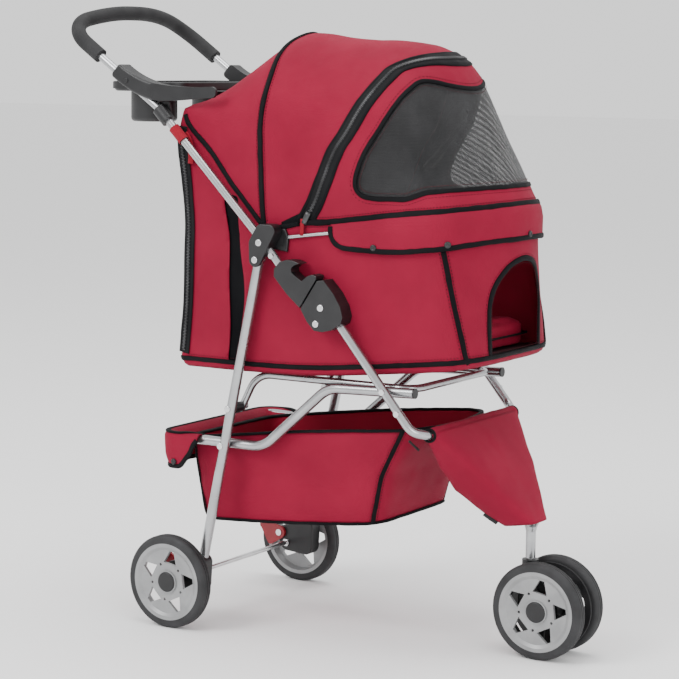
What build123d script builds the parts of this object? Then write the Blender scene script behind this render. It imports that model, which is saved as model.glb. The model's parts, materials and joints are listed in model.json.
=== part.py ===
"""Folding pet stroller: tube frame, two rear wheels, twin front caster, zipped cabin and basket."""
from build123d import *
import math
import os

os.makedirs("parts", exist_ok=True)

# The frame: X forward, Y to the left, Z up, origin on the floor under the middle. Millimetres.
SIDES = {"right": -1, "left": 1}
RUNNING = 0.06                      # radial clearance of a pin that turns in a hole
PIN_R = 3.0

# Wheels
WHEEL_R = 76.0
RIM_R = 62.8
AXLE_R = 4.0
REAR_AXLE_X = -205.0
REAR_WHEEL_Y = (183.0, 206.0)
FRONT_AXLE_X = 379.0
FRONT_WHEEL_Y = (20.5, 44.0)
SWIVEL_X = 347.0

# Tubes: radius and the distance of their centre plane from the middle
WALL = 1.2
LEG_Y = 160.0
REAR_LEG_R = 8.0
FRONT_LEG_R = 7.0
HANDLE_R = 6.5
BASKET_TUBE_R = 8.0
BASKET_TUBE_Y = 141.5
SUPPORT_R = 6.0
SUPPORT_Y = 125.0

# Pivots of the folding linkage, as (x, z)
LATCH_PIVOT = (57.8, 512.1)
BRACKET_PIVOT = (-57.2, 604.4)
BASKET_PIVOT = (-125.9, 301.4)
FRONT_PIVOT = (173.4, 415.0)
SUPPORT_PIVOT = (-111.5, 362.7)
LEG_LEAN = 0.2152                   # how far a rear leg runs forward for each millimetre of height

# Handle
HANDLE_KNEE = (-42.0, 624.0)
HANDLE_BEND = (-255.0, 838.0)
FOAM_START = (-368.8, 918.8)
GRIP_CORNER = (-440.5, 967.5)
GRIP_TOP = (-424.0, 990.0)
FOAM_R = 12.0

# Cabin
CABIN_HALF = 145.0
CLOTH = 3.0
RIM_LOW_Z = 640.0
RIM_TOP_Z = 692.0
HOOD_SLANT = -0.533                 # forward run of the window slope for each millimetre of height
ZIP_ARCH = [(17, 666), (39, 701), (92, 795), (130, 856), (153, 901), (177, 925), (215, 985)]
RIM_LINE = [(17, 665), (72, 669), (192, 685), (259, 692), (345, 704)]


def side_plane(y, x=0.0, z=0.0):
    """A plane facing the right-hand side, whose sketch axes are the stroller's X and Z."""
    return Plane(origin=(x, y, z), x_dir=(1, 0, 0), z_dir=(0, -1, 0))


def slab_plane(side, inner, outer):
    """The middle plane of a plate that stands between two distances from the middle."""
    return side_plane(side * (inner + outer) / 2)


def save(part, name):
    part.label = name
    export_step(part, f"parts/{name}.step")


def along(start, end, distance):
    """The point that lies a distance from start on the line to end, in the X-Z plane."""
    length = math.dist(start, end)
    share = distance / length
    return (start[0] + (end[0] - start[0]) * share, start[1] + (end[1] - start[1]) * share)


def leg_x(z):
    """X of a rear leg's centreline at a height."""
    return BRACKET_PIVOT[0] - (BRACKET_PIVOT[1] - z) * LEG_LEAN


def bent_tube(points, bend_radii, radius, bore):
    """A tube swept along straight runs joined by arcs, with a bore of the given radius."""
    with BuildPart() as pipe:
        with BuildLine() as path:
            FilletPolyline(*points, radius=bend_radii)
        with BuildSketch(Plane(origin=path.line @ 0, z_dir=path.line % 0)):
            Circle(radius)
            if bore > 0:
                Circle(bore, mode=Mode.SUBTRACT)
        sweep()
    return pipe.part


def straight_tube(start, end, radius, bore=0.0):
    """A straight round bar or tube from one point to another."""
    axis = Vector(end) - Vector(start)
    with BuildPart() as bar:
        with BuildSketch(Plane(origin=start, z_dir=axis.normalized())):
            Circle(radius)
            if bore > 0:
                Circle(bore, mode=Mode.SUBTRACT)
        extrude(amount=axis.length)
    return bar.part


def cross_pin(x, z, y_from, y_to, radius):
    """A solid cylinder across the stroller."""
    return straight_tube((x, y_from, z), (x, y_to, z), radius)


def rivet(point, side, inner, outer, head_r=5.5, head_h=2.0, inner_head=True):
    """A domed rivet or screw through the side planes, from inner to outer distance."""
    x, z = point
    with BuildPart() as pin:
        with BuildSketch(Plane(origin=(x, side * inner, z), x_dir=(1, 0, 0), z_dir=(0, side, 0))):
            Circle(PIN_R)
        extrude(amount=outer - inner)
        with BuildSketch(Plane(origin=(x, side * outer, z), x_dir=(1, 0, 0), z_dir=(0, side, 0))):
            Circle(head_r)
        extrude(amount=head_h)
        fillet(pin.edges().filter_by(GeomType.CIRCLE).group_by(Axis.Y)[-1 if side > 0 else 0], head_h * 0.7)
        if inner_head:
            with BuildSketch(Plane(origin=(x, side * inner, z), x_dir=(1, 0, 0), z_dir=(0, -side, 0))):
                Circle(head_r)
            extrude(amount=head_h)
    return pin.part


def group(parts):
    """Separate solids that share one node."""
    return Compound(children=list(parts))


# ---------------------------------------------------------------- wheels

def tyre(x, side, y_span):
    inner, outer = y_span
    with BuildPart() as ring:
        with BuildSketch(Plane(origin=(x, 0, WHEEL_R), x_dir=(1, 0, 0), z_dir=(0, 0, 1))) as section:
            with BuildLine():
                Polyline((RIM_R, side * inner), (WHEEL_R, side * inner), (WHEEL_R, side * outer),
                         (RIM_R, side * outer), close=True)
            make_face()
            fillet(section.vertices().group_by(Axis.X)[-1], 7.0)
            for groove in (inner + 9.0, outer - 9.0):
                with Locations((WHEEL_R, side * groove)):
                    Rectangle(2.4, 1.4, mode=Mode.SUBTRACT)
        revolve(axis=Axis((x, 0, WHEEL_R), (0, 1, 0)))
    return ring.part


def rim(x, side, y_span):
    """Spoked plastic rim: barrel, web with five windows and five small holes, and a bored hub."""
    inner, outer = y_span
    web = (outer - 9.0, outer - 3.5)
    hub_end = inner - 4.0
    middle = side * (web[0] + web[1]) / 2
    with BuildPart() as wheel:
        with BuildSketch(Plane(origin=(x, 0, WHEEL_R), x_dir=(1, 0, 0), z_dir=(0, 0, 1))):
            with BuildLine():
                Polyline((AXLE_R + 0.05, side * hub_end), (12, side * hub_end), (13, side * web[0]),
                         (54, side * web[0]), (57, side * (inner + 1)), (RIM_R, side * inner),
                         (RIM_R, side * outer), (57, side * (outer - 0.5)), (52, side * web[1]),
                         (18.5, side * web[1]), (18.5, side * (outer - 1.0)), (16.5, side * (outer - 1.0)),
                         (16.5, side * web[1]), (AXLE_R + 0.05, side * web[1]), close=True)
            make_face()
        revolve(axis=Axis((x, 0, WHEEL_R), (0, 1, 0)))
        with BuildSketch(side_plane(middle, x, WHEEL_R)):
            with PolarLocations(0, 5, start_angle=8):
                with Locations((40.5, 0)):
                    Trapezoid(25, 21, 68, rotation=-90)
        extrude(amount=20, both=True, mode=Mode.SUBTRACT)
        with BuildSketch(side_plane(middle, x, WHEEL_R)):
            with PolarLocations(30, 5, start_angle=44):
                Circle(2.2)
        extrude(amount=20, both=True, mode=Mode.SUBTRACT)
    return wheel.part


def hub_cap(x, side, outer):
    with BuildPart() as cap:
        with BuildSketch(Plane(origin=(x, side * (outer - 3.4), WHEEL_R), x_dir=(1, 0, 0), z_dir=(0, side, 0))):
            Circle(16.3)
        extrude(amount=4.6)
        fillet(cap.edges().group_by(Axis.Y)[-1 if side > 0 else 0], 2.4)
    return cap.part


def wheel_set(prefix, x, y_span):
    for name, side in SIDES.items():
        save(tyre(x, side, y_span), f"{prefix}_tyre_{name}")
        save(rim(x, side, y_span), f"{prefix}_rim_{name}")
        save(hub_cap(x, side, y_span[1]), f"{prefix}_hub_cap_{name}")


# ---------------------------------------------------------------- rear frame

BRAKE_PIVOT = (-218.0, 93.0)
HOUSING_Y = (149.0, 175.0)
LEG_FOOT_Z = 84.0


def rear_leg(side):
    top = along(BRACKET_PIVOT, (leg_x(0), 0), -9.0)
    with BuildPart() as leg:
        add(straight_tube((leg_x(LEG_FOOT_Z), side * LEG_Y, LEG_FOOT_Z), (top[0], side * LEG_Y, top[1]),
                          REAR_LEG_R, REAR_LEG_R - WALL))
        for point, hole in ((BRACKET_PIVOT, PIN_R + RUNNING), (SUPPORT_PIVOT, PIN_R), (BASKET_PIVOT, PIN_R)):
            add(cross_pin(*point, side * 140, side * 180, hole), mode=Mode.SUBTRACT)
    return leg.part


def brake_housing(side):
    """Black housing that joins the foot of a rear leg to the axle and carries the brake pedal."""
    with BuildPart() as housing:
        with BuildSketch(slab_plane(side, *HOUSING_Y)):
            with Locations((REAR_AXLE_X, WHEEL_R)):
                Circle(15)
            with Locations(BRAKE_PIVOT):
                Circle(10)
            with Locations((-168, 72)):
                Circle(14)
            with Locations((leg_x(108), 106)):
                Circle(12)
            make_hull()
        extrude(amount=(HOUSING_Y[1] - HOUSING_Y[0]) / 2, both=True)
        fillet(housing.edges().filter_by(Plane.XZ), 2.5)
        foot = (leg_x(LEG_FOOT_Z), side * LEG_Y, LEG_FOOT_Z)
        add(straight_tube(foot, (leg_x(200), side * LEG_Y, 200), REAR_LEG_R), mode=Mode.SUBTRACT)
        add(cross_pin(REAR_AXLE_X, WHEEL_R, side * 140, side * 180, AXLE_R), mode=Mode.SUBTRACT)
        add(cross_pin(*BRAKE_PIVOT, side * 148, side * 156, PIN_R), mode=Mode.SUBTRACT)
    return housing.part


def brake_pedal(side):
    """Red lever inside each housing, with a foot plate that reaches back behind the wheel's hub."""
    foot = (-250.0, 103.0)
    with BuildPart() as pedal:
        with BuildSketch(slab_plane(side, 143.0, 148.6)):
            with Locations(BRAKE_PIVOT):
                Circle(11)
            with Locations(foot):
                Circle(7)
            with Locations((-236, 76)):
                Circle(6)
            make_hull()
        extrude(amount=2.8, both=True)
        with BuildSketch(slab_plane(side, 143.0, 172.0)):
            with Locations((foot[0] - 2, foot[1])):
                Circle(6)
            with Locations((foot[0] + 9, foot[1] + 4)):
                Circle(3)
            make_hull()
        extrude(amount=14.5, both=True)
        add(cross_pin(*BRAKE_PIVOT, side * 140, side * 150, PIN_R + RUNNING), mode=Mode.SUBTRACT)
    return pedal.part


def brake_screw(side):
    """Shouldered screw on which a brake pedal turns, and a nut on the axle beside it."""
    x, z = BRAKE_PIVOT
    with BuildPart() as screw:
        add(cross_pin(x, z, side * 142.9, side * 155.0, PIN_R))
        add(cross_pin(x, z, side * 141.2, side * 142.9, 5.5))
    return screw.part


def axle_nut(side):
    with BuildPart() as nut:
        with BuildSketch(slab_plane(side, 144.4, 148.9)):
            with Locations((REAR_AXLE_X, WHEEL_R)):
                RegularPolygon(7.0, 6)
                Circle(AXLE_R, mode=Mode.SUBTRACT)
        extrude(amount=2.25, both=True)
    return nut.part


def spacer(point, side, inner, outer, radius=8.0):
    with BuildPart() as ring:
        with BuildSketch(slab_plane(side, inner, outer)):
            with Locations(point):
                Circle(radius)
                Circle(PIN_R, mode=Mode.SUBTRACT)
        extrude(amount=(outer - inner) / 2, both=True)
        notch = straight_tube((leg_x(200), side * LEG_Y, 200), (leg_x(420), side * LEG_Y, 420), REAR_LEG_R)
        add(notch, mode=Mode.SUBTRACT)
    return ring.part


def rear_frame():
    for name, side in SIDES.items():
        save(rear_leg(side), f"rear_leg_{name}")
        save(brake_housing(side), f"brake_housing_{name}")
        save(brake_pedal(side), f"brake_pedal_{name}")
    save(cross_pin(REAR_AXLE_X, WHEEL_R, -198.0, 198.0, AXLE_R), "rear_axle")
    both = SIDES.values()
    save(group([brake_screw(s) for s in both] + [axle_nut(s) for s in both]), "brake_fasteners")
    save(group([rivet(p, s, i, 168.0) for s in both
                for p, i in ((BASKET_PIVOT, BASKET_TUBE_Y - BASKET_TUBE_R - 0.3), (SUPPORT_PIVOT, 118.6))]),
         "rear_leg_rivets")
    inner_faces = ((BASKET_PIVOT, BASKET_TUBE_Y + BASKET_TUBE_R + 0.3), (SUPPORT_PIVOT, 131.4))
    save(group([spacer(p, s, i, 153.5) for s in both for p, i in inner_faces]), "pivot_spacers")


# ---------------------------------------------------------------- handle frame

SLIDER_Y = (151.8, 175.0)
BRACKET_Y = (151.8, 173.5)
BRACKET_SCREW = (-49.8, 631.8)
TRAY_X = (-372.0, -226.0)
TRAY_HALF = 145.5
TRAY_Z = (862.0, 878.0)
LIP = 12.0
CUP_X = -318.0
CUP_Y = 85.0
CUP_R = 35.5
CUP_FLOOR_Z = 815.0


def handle_points(start):
    """Corners of the handle's centreline, from a given lower end on the right over to the left."""
    right = [(*start, LEG_Y), (*HANDLE_KNEE, LEG_Y), (*HANDLE_BEND, LEG_Y)]
    right += [(*GRIP_CORNER, LEG_Y + 1), (*GRIP_TOP, 60.0)]
    near = [(x, -y, z) for x, z, y in right]
    far = [(x, -y, z) for x, y, z in reversed(near)]
    return near + far


def handle_bar(bore):
    """The bent handle, from latch pivot to latch pivot, hollow or solid."""
    end = along(LATCH_PIVOT, HANDLE_KNEE, -8.0)
    return bent_tube(handle_points(end), [200, 60, 50, 380, 380, 50, 60, 200], HANDLE_R, bore)


def handle_tube():
    with BuildPart() as tube:
        add(handle_bar(HANDLE_R - WALL))
        for side in SIDES.values():
            add(cross_pin(*LATCH_PIVOT, side * 150, side * 170, PIN_R + RUNNING), mode=Mode.SUBTRACT)
            add(cross_pin(*BRACKET_SCREW, side * 150, side * 170, PIN_R), mode=Mode.SUBTRACT)
    return tube.part


def foam_grip():
    """Foam sleeve over the bar, from one straight upper run round both corners to the other."""
    start = along(HANDLE_BEND, GRIP_CORNER, math.dist(HANDLE_BEND, FOAM_START))
    share = math.dist(HANDLE_BEND, FOAM_START) / math.dist(HANDLE_BEND, GRIP_CORNER)
    first = (start[0], -(LEG_Y + share), start[1])
    points = [first, (GRIP_CORNER[0], -(LEG_Y + 1), GRIP_CORNER[1]), (GRIP_TOP[0], -60.0, GRIP_TOP[1])]
    points += [(x, -y, z) for x, y, z in reversed(points)]
    return bent_tube(points, [50, 380, 380, 50], FOAM_R, HANDLE_R)


def tray_arm(side):
    """Curved band from the pan's side that wraps round the handle tube and runs on along the cabin."""
    with BuildPart() as band:
        with BuildSketch(slab_plane(side, TRAY_HALF - 1, 171.5)) as outline:
            with BuildLine():
                Spline((-325, 907), (-293, 888), (-258, 876.5), (-223, 871.5), (-158, 871.5))
                ThreePointArc((-158, 871.5), (-149, 862.5), (-158, 853.5))
                Spline((-158, 853.5), (-223, 848.5), (-262, 849.5), (-303, 863.5), (-343, 888))
                Line((-343, 888), (-325, 907))
            make_face()
            fillet(outline.vertices().sort_by(Axis.X)[:2], 6)
        extrude(amount=(171.5 - TRAY_HALF + 1) / 2, both=True)
        fillet(band.faces().sort_by(Axis.Y)[-1 if side > 0 else 0].edges(), 4)
        with BuildSketch(Plane.XY.offset(830)):
            with BuildLine():
                Polyline((-262, side * 171.5), (-262, side * 180), (-130, side * 180),
                         (-130, side * 150), (-196, side * 150), close=True)
            make_face()
        extrude(amount=60, mode=Mode.SUBTRACT)
    return band.part


def tray():
    """Parent tray with a rolled lip, two round cup wells and an arm each side on the handle tube."""
    middle = (TRAY_X[0] + TRAY_X[1]) / 2
    length = TRAY_X[1] - TRAY_X[0]
    with BuildPart() as pan:
        with BuildSketch(Plane.XY.offset(TRAY_Z[0])):
            with Locations((middle, 0)):
                RectangleRounded(length - 6, 2 * TRAY_HALF - 6, 27)
        extrude(amount=TRAY_Z[1] - TRAY_Z[0])
        fillet(pan.faces().sort_by(Axis.Z)[0].edges(), 5)
        with BuildSketch(Plane.XY.offset(TRAY_Z[1] - LIP)):
            with Locations((middle, 0)):
                RectangleRounded(length, 2 * TRAY_HALF, 30)
        extrude(amount=LIP)
        fillet(pan.faces().sort_by(Axis.Z)[-1].edges(), 2.5)
    with BuildPart() as body:
        add(pan.part)
        with BuildSketch(Plane.XY.offset(CUP_FLOOR_Z - 2.5)):
            with Locations((CUP_X, CUP_Y), (CUP_X, -CUP_Y)):
                Circle(CUP_R + 2.5)
        extrude(amount=TRAY_Z[0] - CUP_FLOOR_Z + 8)
        fillet(body.edges().filter_by(GeomType.CIRCLE).group_by(Axis.Z)[0], 6)
        for side in SIDES.values():
            add(tray_arm(side))
        add(handle_bar(0), mode=Mode.SUBTRACT)
        with BuildSketch(Plane.XY.offset(TRAY_Z[0] + 3)):
            with Locations((middle, 0)):
                RectangleRounded(length - 12, 2 * TRAY_HALF - 12, 24)
        extrude(amount=TRAY_Z[1] - TRAY_Z[0], mode=Mode.SUBTRACT)
        with BuildSketch(Plane.XY.offset(CUP_FLOOR_Z)):
            with Locations((CUP_X, CUP_Y), (CUP_X, -CUP_Y)):
                Circle(CUP_R)
        extrude(amount=60, mode=Mode.SUBTRACT)
    return body.part


def tray_clamp(side):
    """Split collar on the handle tube just below its bend, which holds up the tray's front edge."""
    low = along(HANDLE_BEND, HANDLE_KNEE, 31.0)
    high = along(HANDLE_BEND, HANDLE_KNEE, 4.0)
    with BuildPart() as clamp:
        add(straight_tube((low[0], side * LEG_Y, low[1]), (high[0], side * LEG_Y, high[1]), 11.5))
        with BuildSketch(slab_plane(side, 150.0, 154.0)):
            with BuildLine():
                Polyline((-262, 843), (-250, 846.6), (-237, 846.6), (-232, 826), (-241, 822), close=True)
            make_face()
        extrude(amount=2.0, both=True)
        add(handle_bar(0), mode=Mode.SUBTRACT)
    return clamp.part


def fold_bracket(side):
    """Plastic bracket that grips the handle tube and hangs a cheek over the rear leg's pivot."""
    inner, outer = BRACKET_Y
    knee, bend = HANDLE_KNEE, HANDLE_BEND
    with BuildPart() as bracket:
        with BuildSketch(slab_plane(side, inner, outer)):
            with Locations(BRACKET_PIVOT):
                Circle(11.2)
            with Locations((-58.5, 630)):
                Circle(10.8)
            with Locations((-46, 650)):
                Circle(11)
            with Locations((-31.5, 650.5)):
                Circle(10.5)
            make_hull()
        extrude(amount=(outer - inner) / 2, both=True)
        fillet(bracket.faces().sort_by(Axis.Y)[-1 if side > 0 else 0].edges(), 2.0)
        with BuildSketch(slab_plane(side, 140.0, 168.7)):
            with Locations(BRACKET_PIVOT):
                Circle(16.4)
            with BuildLine():
                Polyline((knee[0] - 6.5, knee[1] - 7.5), (knee[0] - 86.5, knee[1] + 72.5),
                         (knee[0] - 140, knee[1] - 60), (knee[0] - 10, knee[1] - 60), close=True)
            make_face()
        extrude(amount=14.35, both=True, mode=Mode.SUBTRACT)
        add(straight_tube((knee[0] - 60, side * LEG_Y, knee[1] + 60 * (bend[1] - knee[1]) / (knee[0] - bend[0])),
                          (knee[0], side * LEG_Y, knee[1]), HANDLE_R + 0.15), mode=Mode.SUBTRACT)
        add(straight_tube((knee[0], side * LEG_Y, knee[1]), (LATCH_PIVOT[0], side * LEG_Y, LATCH_PIVOT[1]),
                          HANDLE_R + 0.15), mode=Mode.SUBTRACT)
        with BuildSketch(side_plane(side * LEG_Y, *knee)):
            Circle(HANDLE_R + 0.15)
        extrude(amount=HANDLE_R + 0.15, both=True, mode=Mode.SUBTRACT)
        add(cross_pin(*BRACKET_PIVOT, side * 140, side * 180, PIN_R), mode=Mode.SUBTRACT)
        add(cross_pin(*BRACKET_SCREW, side * 140, side * 180, PIN_R), mode=Mode.SUBTRACT)
    return bracket.part


def strap_loop(side):
    """Red webbing loop sewn round the handle tube beside the cabin's rear corner."""
    low = along(HANDLE_KNEE, HANDLE_BEND, 228.0)
    high = along(HANDLE_KNEE, HANDLE_BEND, 256.0)
    y = side * LEG_Y
    return straight_tube((low[0], y, low[1]), (high[0], y, high[1]), HANDLE_R + 2.5, HANDLE_R)


def latch_slider(side):
    """Sliding latch on the handle tube, with the finger claw that is pulled to release the fold."""
    inner, outer = SLIDER_Y
    with BuildPart() as slider:
        with BuildSketch(slab_plane(side, inner, outer)):
            with BuildLine():
                Polyline((-20.5, 581), (-20, 593), (-10.5, 604), (2, 608), (14, 607.7), (27, 603.6), (16.6, 600),
                         (11.5, 595), (12, 589.5), (19, 584), (31, 577), (41, 585), (50, 588), (57.6, 586),
                         (57.2, 580.6), (27.4, 535.2), (3, 555.5), close=True)
            make_face()
        extrude(amount=(outer - inner) / 2, both=True)
        fillet(slider.faces().sort_by(Axis.Y)[-1 if side > 0 else 0].edges(), 1.2)
        add(straight_tube((HANDLE_KNEE[0], side * LEG_Y, HANDLE_KNEE[1]),
                          (LATCH_PIVOT[0], side * LEG_Y, LATCH_PIVOT[1]), HANDLE_R + 0.25), mode=Mode.SUBTRACT)
    return slider.part


def knee_rivet(side):
    """Low round head on the handle tube between the bracket and the latch."""
    with BuildPart() as head:
        add(cross_pin(-31.0, 611.7, side * 165.0, side * 168.4, 4.4))
        add(handle_bar(0), mode=Mode.SUBTRACT)
    return head.part


def handle_frame():
    both = SIDES.values()
    save(handle_tube(), "handle_tube")
    save(foam_grip(), "foam_grip")
    save(tray(), "tray")
    for name, side in SIDES.items():
        save(tray_clamp(side), f"tray_clamp_{name}")
        save(fold_bracket(side), f"fold_bracket_{name}")
        save(latch_slider(side), f"latch_slider_{name}")
    screws = [rivet(BRACKET_PIVOT, s, 151.9, 173.5, inner_head=True) for s in both]
    screws += [rivet(BRACKET_SCREW, s, 155.0, 173.5, inner_head=False) for s in both]
    screws += [knee_rivet(s) for s in both]
    save(group(screws), "bracket_screws")
    save(group([rivet((-309.6, 879.5), s, 171.5, 171.6, 4.0, 1.4, False) for s in both]), "tray_screws")
    save(group([strap_loop(s) for s in both]), "strap_loops")


# ---------------------------------------------------------------- front frame

LEG_TOP = (60.5, 549.5)
LEG_KNEE = (222.0, 357.0)
CROSS_BAR = (240.0, 351.0)
CROSS_HALF = 138.0
STEM_FOOT = (349.0, 214.0)
STEM_R = 8.0
SOCKET_R = 18.0
HOUSING_CHEEK_Y = (145.9, 175.0)
LATCH_SCREW = (66.3, 537.4)


def front_leg_points():
    right = [(LEG_TOP[0], -LEG_Y, LEG_TOP[1]), (LEG_KNEE[0], -LEG_Y, LEG_KNEE[1]),
             (CROSS_BAR[0], -CROSS_HALF, CROSS_BAR[1])]
    return right + [(x, -y, z) for x, y, z in reversed(right)]


def front_leg_tube():
    with BuildPart() as tube:
        add(bent_tube(front_leg_points(), [22, 22, 22, 22], FRONT_LEG_R, FRONT_LEG_R - WALL))
    return tube.part


def stem_tube():
    with BuildPart() as stem:
        top = (CROSS_BAR[0], 0, CROSS_BAR[1])
        add(straight_tube(top, (STEM_FOOT[0], 0, STEM_FOOT[1]), STEM_R, STEM_R - WALL))
        add(cross_pin(*CROSS_BAR, -20, 20, FRONT_LEG_R), mode=Mode.SUBTRACT)
        with BuildSketch(Plane.XY.offset(180)):
            with Locations((STEM_FOOT[0], 0)):
                Circle(30)
        extrude(amount=34, mode=Mode.SUBTRACT)
    return stem.part


def caster_socket():
    """Upright tube with a flared head, welded under the stem, in which the caster's pin turns."""
    with BuildPart() as socket:
        with BuildSketch(Plane(origin=(SWIVEL_X, 0, 0), x_dir=(1, 0, 0), z_dir=(0, -1, 0))):
            with BuildLine():
                Polyline((5.06, 150), (7.8, 150), (7.8, 192), (10, 200), (14, 208), (14, 213.6), (5.06, 213.6),
                         close=True)
            make_face()
        revolve(axis=Axis((SWIVEL_X, 0, 0), (0, 0, 1)))
    return socket.part


def latch_housing(side):
    """Two-cheeked plastic housing on the top of a front leg, in which the handle tube's end pivots."""
    inner, outer = HOUSING_CHEEK_Y
    foot = along(LEG_TOP, LEG_KNEE, 120.0)
    run = math.dist(LEG_TOP, LEG_KNEE)
    ahead = ((LEG_KNEE[0] - LEG_TOP[0]) / run, (LEG_KNEE[1] - LEG_TOP[1]) / run)
    beside = (ahead[1], -ahead[0])
    with BuildPart() as housing:
        with BuildSketch(slab_plane(side, inner, outer)):
            with BuildLine():
                Polyline((59, 579), (70.5, 580.6), (89, 561), (101, 542), (105.7, 525), (102.4, 514.5),
                         (85, 504), (69, 500.2), (54, 501.5), (41, 514.4), (29, 533.6), close=True)
            make_face()
        extrude(amount=(outer - inner) / 2, both=True)
        fillet(housing.faces().sort_by(Axis.Y)[-1 if side > 0 else 0].edges(), 1.6)
        near = 9.0
        far = 90.0
        corners = []
        for forward, off in ((-80, near), (130, near), (130, far), (-80, far)):
            corners.append((LEG_TOP[0] + ahead[0] * forward + beside[0] * off,
                            LEG_TOP[1] + ahead[1] * forward + beside[1] * off))
        with BuildSketch(slab_plane(side, 152.9, 167.1)):
            with BuildLine():
                Polyline(*corners, close=True)
            make_face()
        extrude(amount=7.1, both=True, mode=Mode.SUBTRACT)
        add(straight_tube((LEG_TOP[0], side * LEG_Y, LEG_TOP[1]), (foot[0], side * LEG_Y, foot[1]), FRONT_LEG_R),
            mode=Mode.SUBTRACT)
        add(cross_pin(*LATCH_PIVOT, side * 140, side * 180, PIN_R), mode=Mode.SUBTRACT)
        add(cross_pin(*LATCH_SCREW, side * 170, side * 180, PIN_R), mode=Mode.SUBTRACT)
    return housing.part


def apron():
    """Cloth sock that hangs from the cross bar and narrows round the stem down to the caster."""
    def sleeve(inset):
        with BuildPart() as sock:
            with BuildSketch(Plane.XY.offset(364 + (0 if inset == 0 else 1))):
                with Locations((246, 0)):
                    Rectangle(34 - 2 * inset, 266 - 2 * inset)
            with BuildSketch(Plane.XY.offset(206 - (0 if inset == 0 else 1))):
                with Locations((343, 0)):
                    Rectangle(50 - 2 * inset, 48 - 2 * inset)
            loft()
        return sock.part
    with BuildPart() as cloth:
        add(sleeve(0))
        add(sleeve(2.5), mode=Mode.SUBTRACT)
        add(cross_pin(*CROSS_BAR, -150, 150, FRONT_LEG_R + 0.6), mode=Mode.SUBTRACT)
        add(straight_tube((CROSS_BAR[0], 0, CROSS_BAR[1]), (STEM_FOOT[0], 0, STEM_FOOT[1]), STEM_R + 0.8),
            mode=Mode.SUBTRACT)
        add(straight_tube((SWIVEL_X, 0, 190), (SWIVEL_X, 0, 220), SOCKET_R + 0.5), mode=Mode.SUBTRACT)
        for side in SIDES.values():
            add(straight_tube((CROSS_BAR[0], side * CROSS_HALF, CROSS_BAR[1]),
                              (LEG_KNEE[0], side * LEG_Y, LEG_KNEE[1]), FRONT_LEG_R + 2.0), mode=Mode.SUBTRACT)
    return cloth.part


def cut_by_front_leg(head):
    with BuildPart() as seated:
        add(head)
        for side in SIDES.values():
            add(straight_tube((LEG_TOP[0], side * LEG_Y, LEG_TOP[1]), (LEG_KNEE[0], side * LEG_Y, LEG_KNEE[1]),
                              FRONT_LEG_R), mode=Mode.SUBTRACT)
    return seated.part


def front_frame():
    both = SIDES.values()
    save(front_leg_tube(), "front_leg_tube")
    save(stem_tube(), "stem_tube")
    save(caster_socket(), "caster_socket")
    save(apron(), "apron")
    for name, side in SIDES.items():
        save(latch_housing(side), f"latch_housing_{name}")
    screws = [rivet(LATCH_PIVOT, s, 146.0, 175.0, inner_head=False) for s in both]
    screws += [rivet(LATCH_SCREW, s, 170.0, 175.0, inner_head=False) for s in both]
    save(group(screws), "latch_screws")
    heads = [cross_pin(x, z, s * 166.4, s * 169.2, 4.6) for s in both for x, z in (FRONT_PIVOT, (199.5, 384.0))]
    save(group([cut_by_front_leg(h) for h in heads]), "front_leg_rivets")


# ---------------------------------------------------------------- caster

def caster_pin():
    with BuildPart() as pin:
        add(straight_tube((SWIVEL_X, 0, 118), (SWIVEL_X, 0, 212), 5.0))
    return pin.part


def caster_housing():
    """Twin-disc caster body between the front wheels, with a boss for the swivel pin."""
    with BuildPart() as body:
        with BuildSketch(side_plane(0)):
            with Locations((FRONT_AXLE_X, WHEEL_R)):
                Circle(22)
            with Locations((SWIVEL_X, 128)):
                Circle(13)
            make_hull()
        extrude(amount=12, both=True)
        with BuildSketch(Plane.XY.offset(112)):
            with Locations((SWIVEL_X, 0)):
                Circle(13)
        extrude(amount=36)
        for side in SIDES.values():
            with BuildSketch(slab_plane(side, 11.0, 15.5)):
                with Locations((FRONT_AXLE_X, WHEEL_R)):
                    Circle(68)
                    Circle(58, mode=Mode.SUBTRACT)
                    Circle(24)
                    with PolarLocations(41, 5, start_angle=120):
                        Rectangle(40, 9)
            extrude(amount=2.25, both=True)
        add(straight_tube((SWIVEL_X, 0, 118), (SWIVEL_X, 0, 212), 5.0), mode=Mode.SUBTRACT)
        add(cross_pin(FRONT_AXLE_X, WHEEL_R, -20, 20, AXLE_R), mode=Mode.SUBTRACT)
    return body.part


def caster():
    save(caster_pin(), "caster_pin")
    save(caster_housing(), "caster_housing")
    save(cross_pin(FRONT_AXLE_X, WHEEL_R, -38.5, 38.5, AXLE_R), "front_axle")


# ---------------------------------------------------------------- basket frame

TUBE_END = (215.5, 414.0)


def basket_tube():
    """U-shaped tube: a rear cross bar, two low side runs, a rise in front and two open ends."""
    y = BASKET_TUBE_Y
    right = [(TUBE_END[0], -y, TUBE_END[1]), (61, -y, 409), (-60, -y, 303), (-250, -y, 303)]
    points = right + [(x, -y, z) for x, y, z in reversed(right)]
    with BuildPart() as tube:
        add(bent_tube(points, [55, 55, 26, 26, 55, 55], BASKET_TUBE_R, BASKET_TUBE_R - WALL))
        add(cross_pin(*BASKET_PIVOT, -170, 170, PIN_R + RUNNING), mode=Mode.SUBTRACT)
    return tube.part


def tube_plug(side):
    start = (TUBE_END[0] - 12, side * BASKET_TUBE_Y, TUBE_END[1] - 12 * 5 / 154.5)
    lip = (TUBE_END[0], side * BASKET_TUBE_Y, TUBE_END[1])
    face = (TUBE_END[0] + 2.5, side * BASKET_TUBE_Y, TUBE_END[1] + 2.5 * 5 / 154.5)
    with BuildPart() as plug:
        add(straight_tube(start, lip, BASKET_TUBE_R - WALL - 0.02))
        add(straight_tube(lip, face, BASKET_TUBE_R))
    return plug.part


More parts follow.
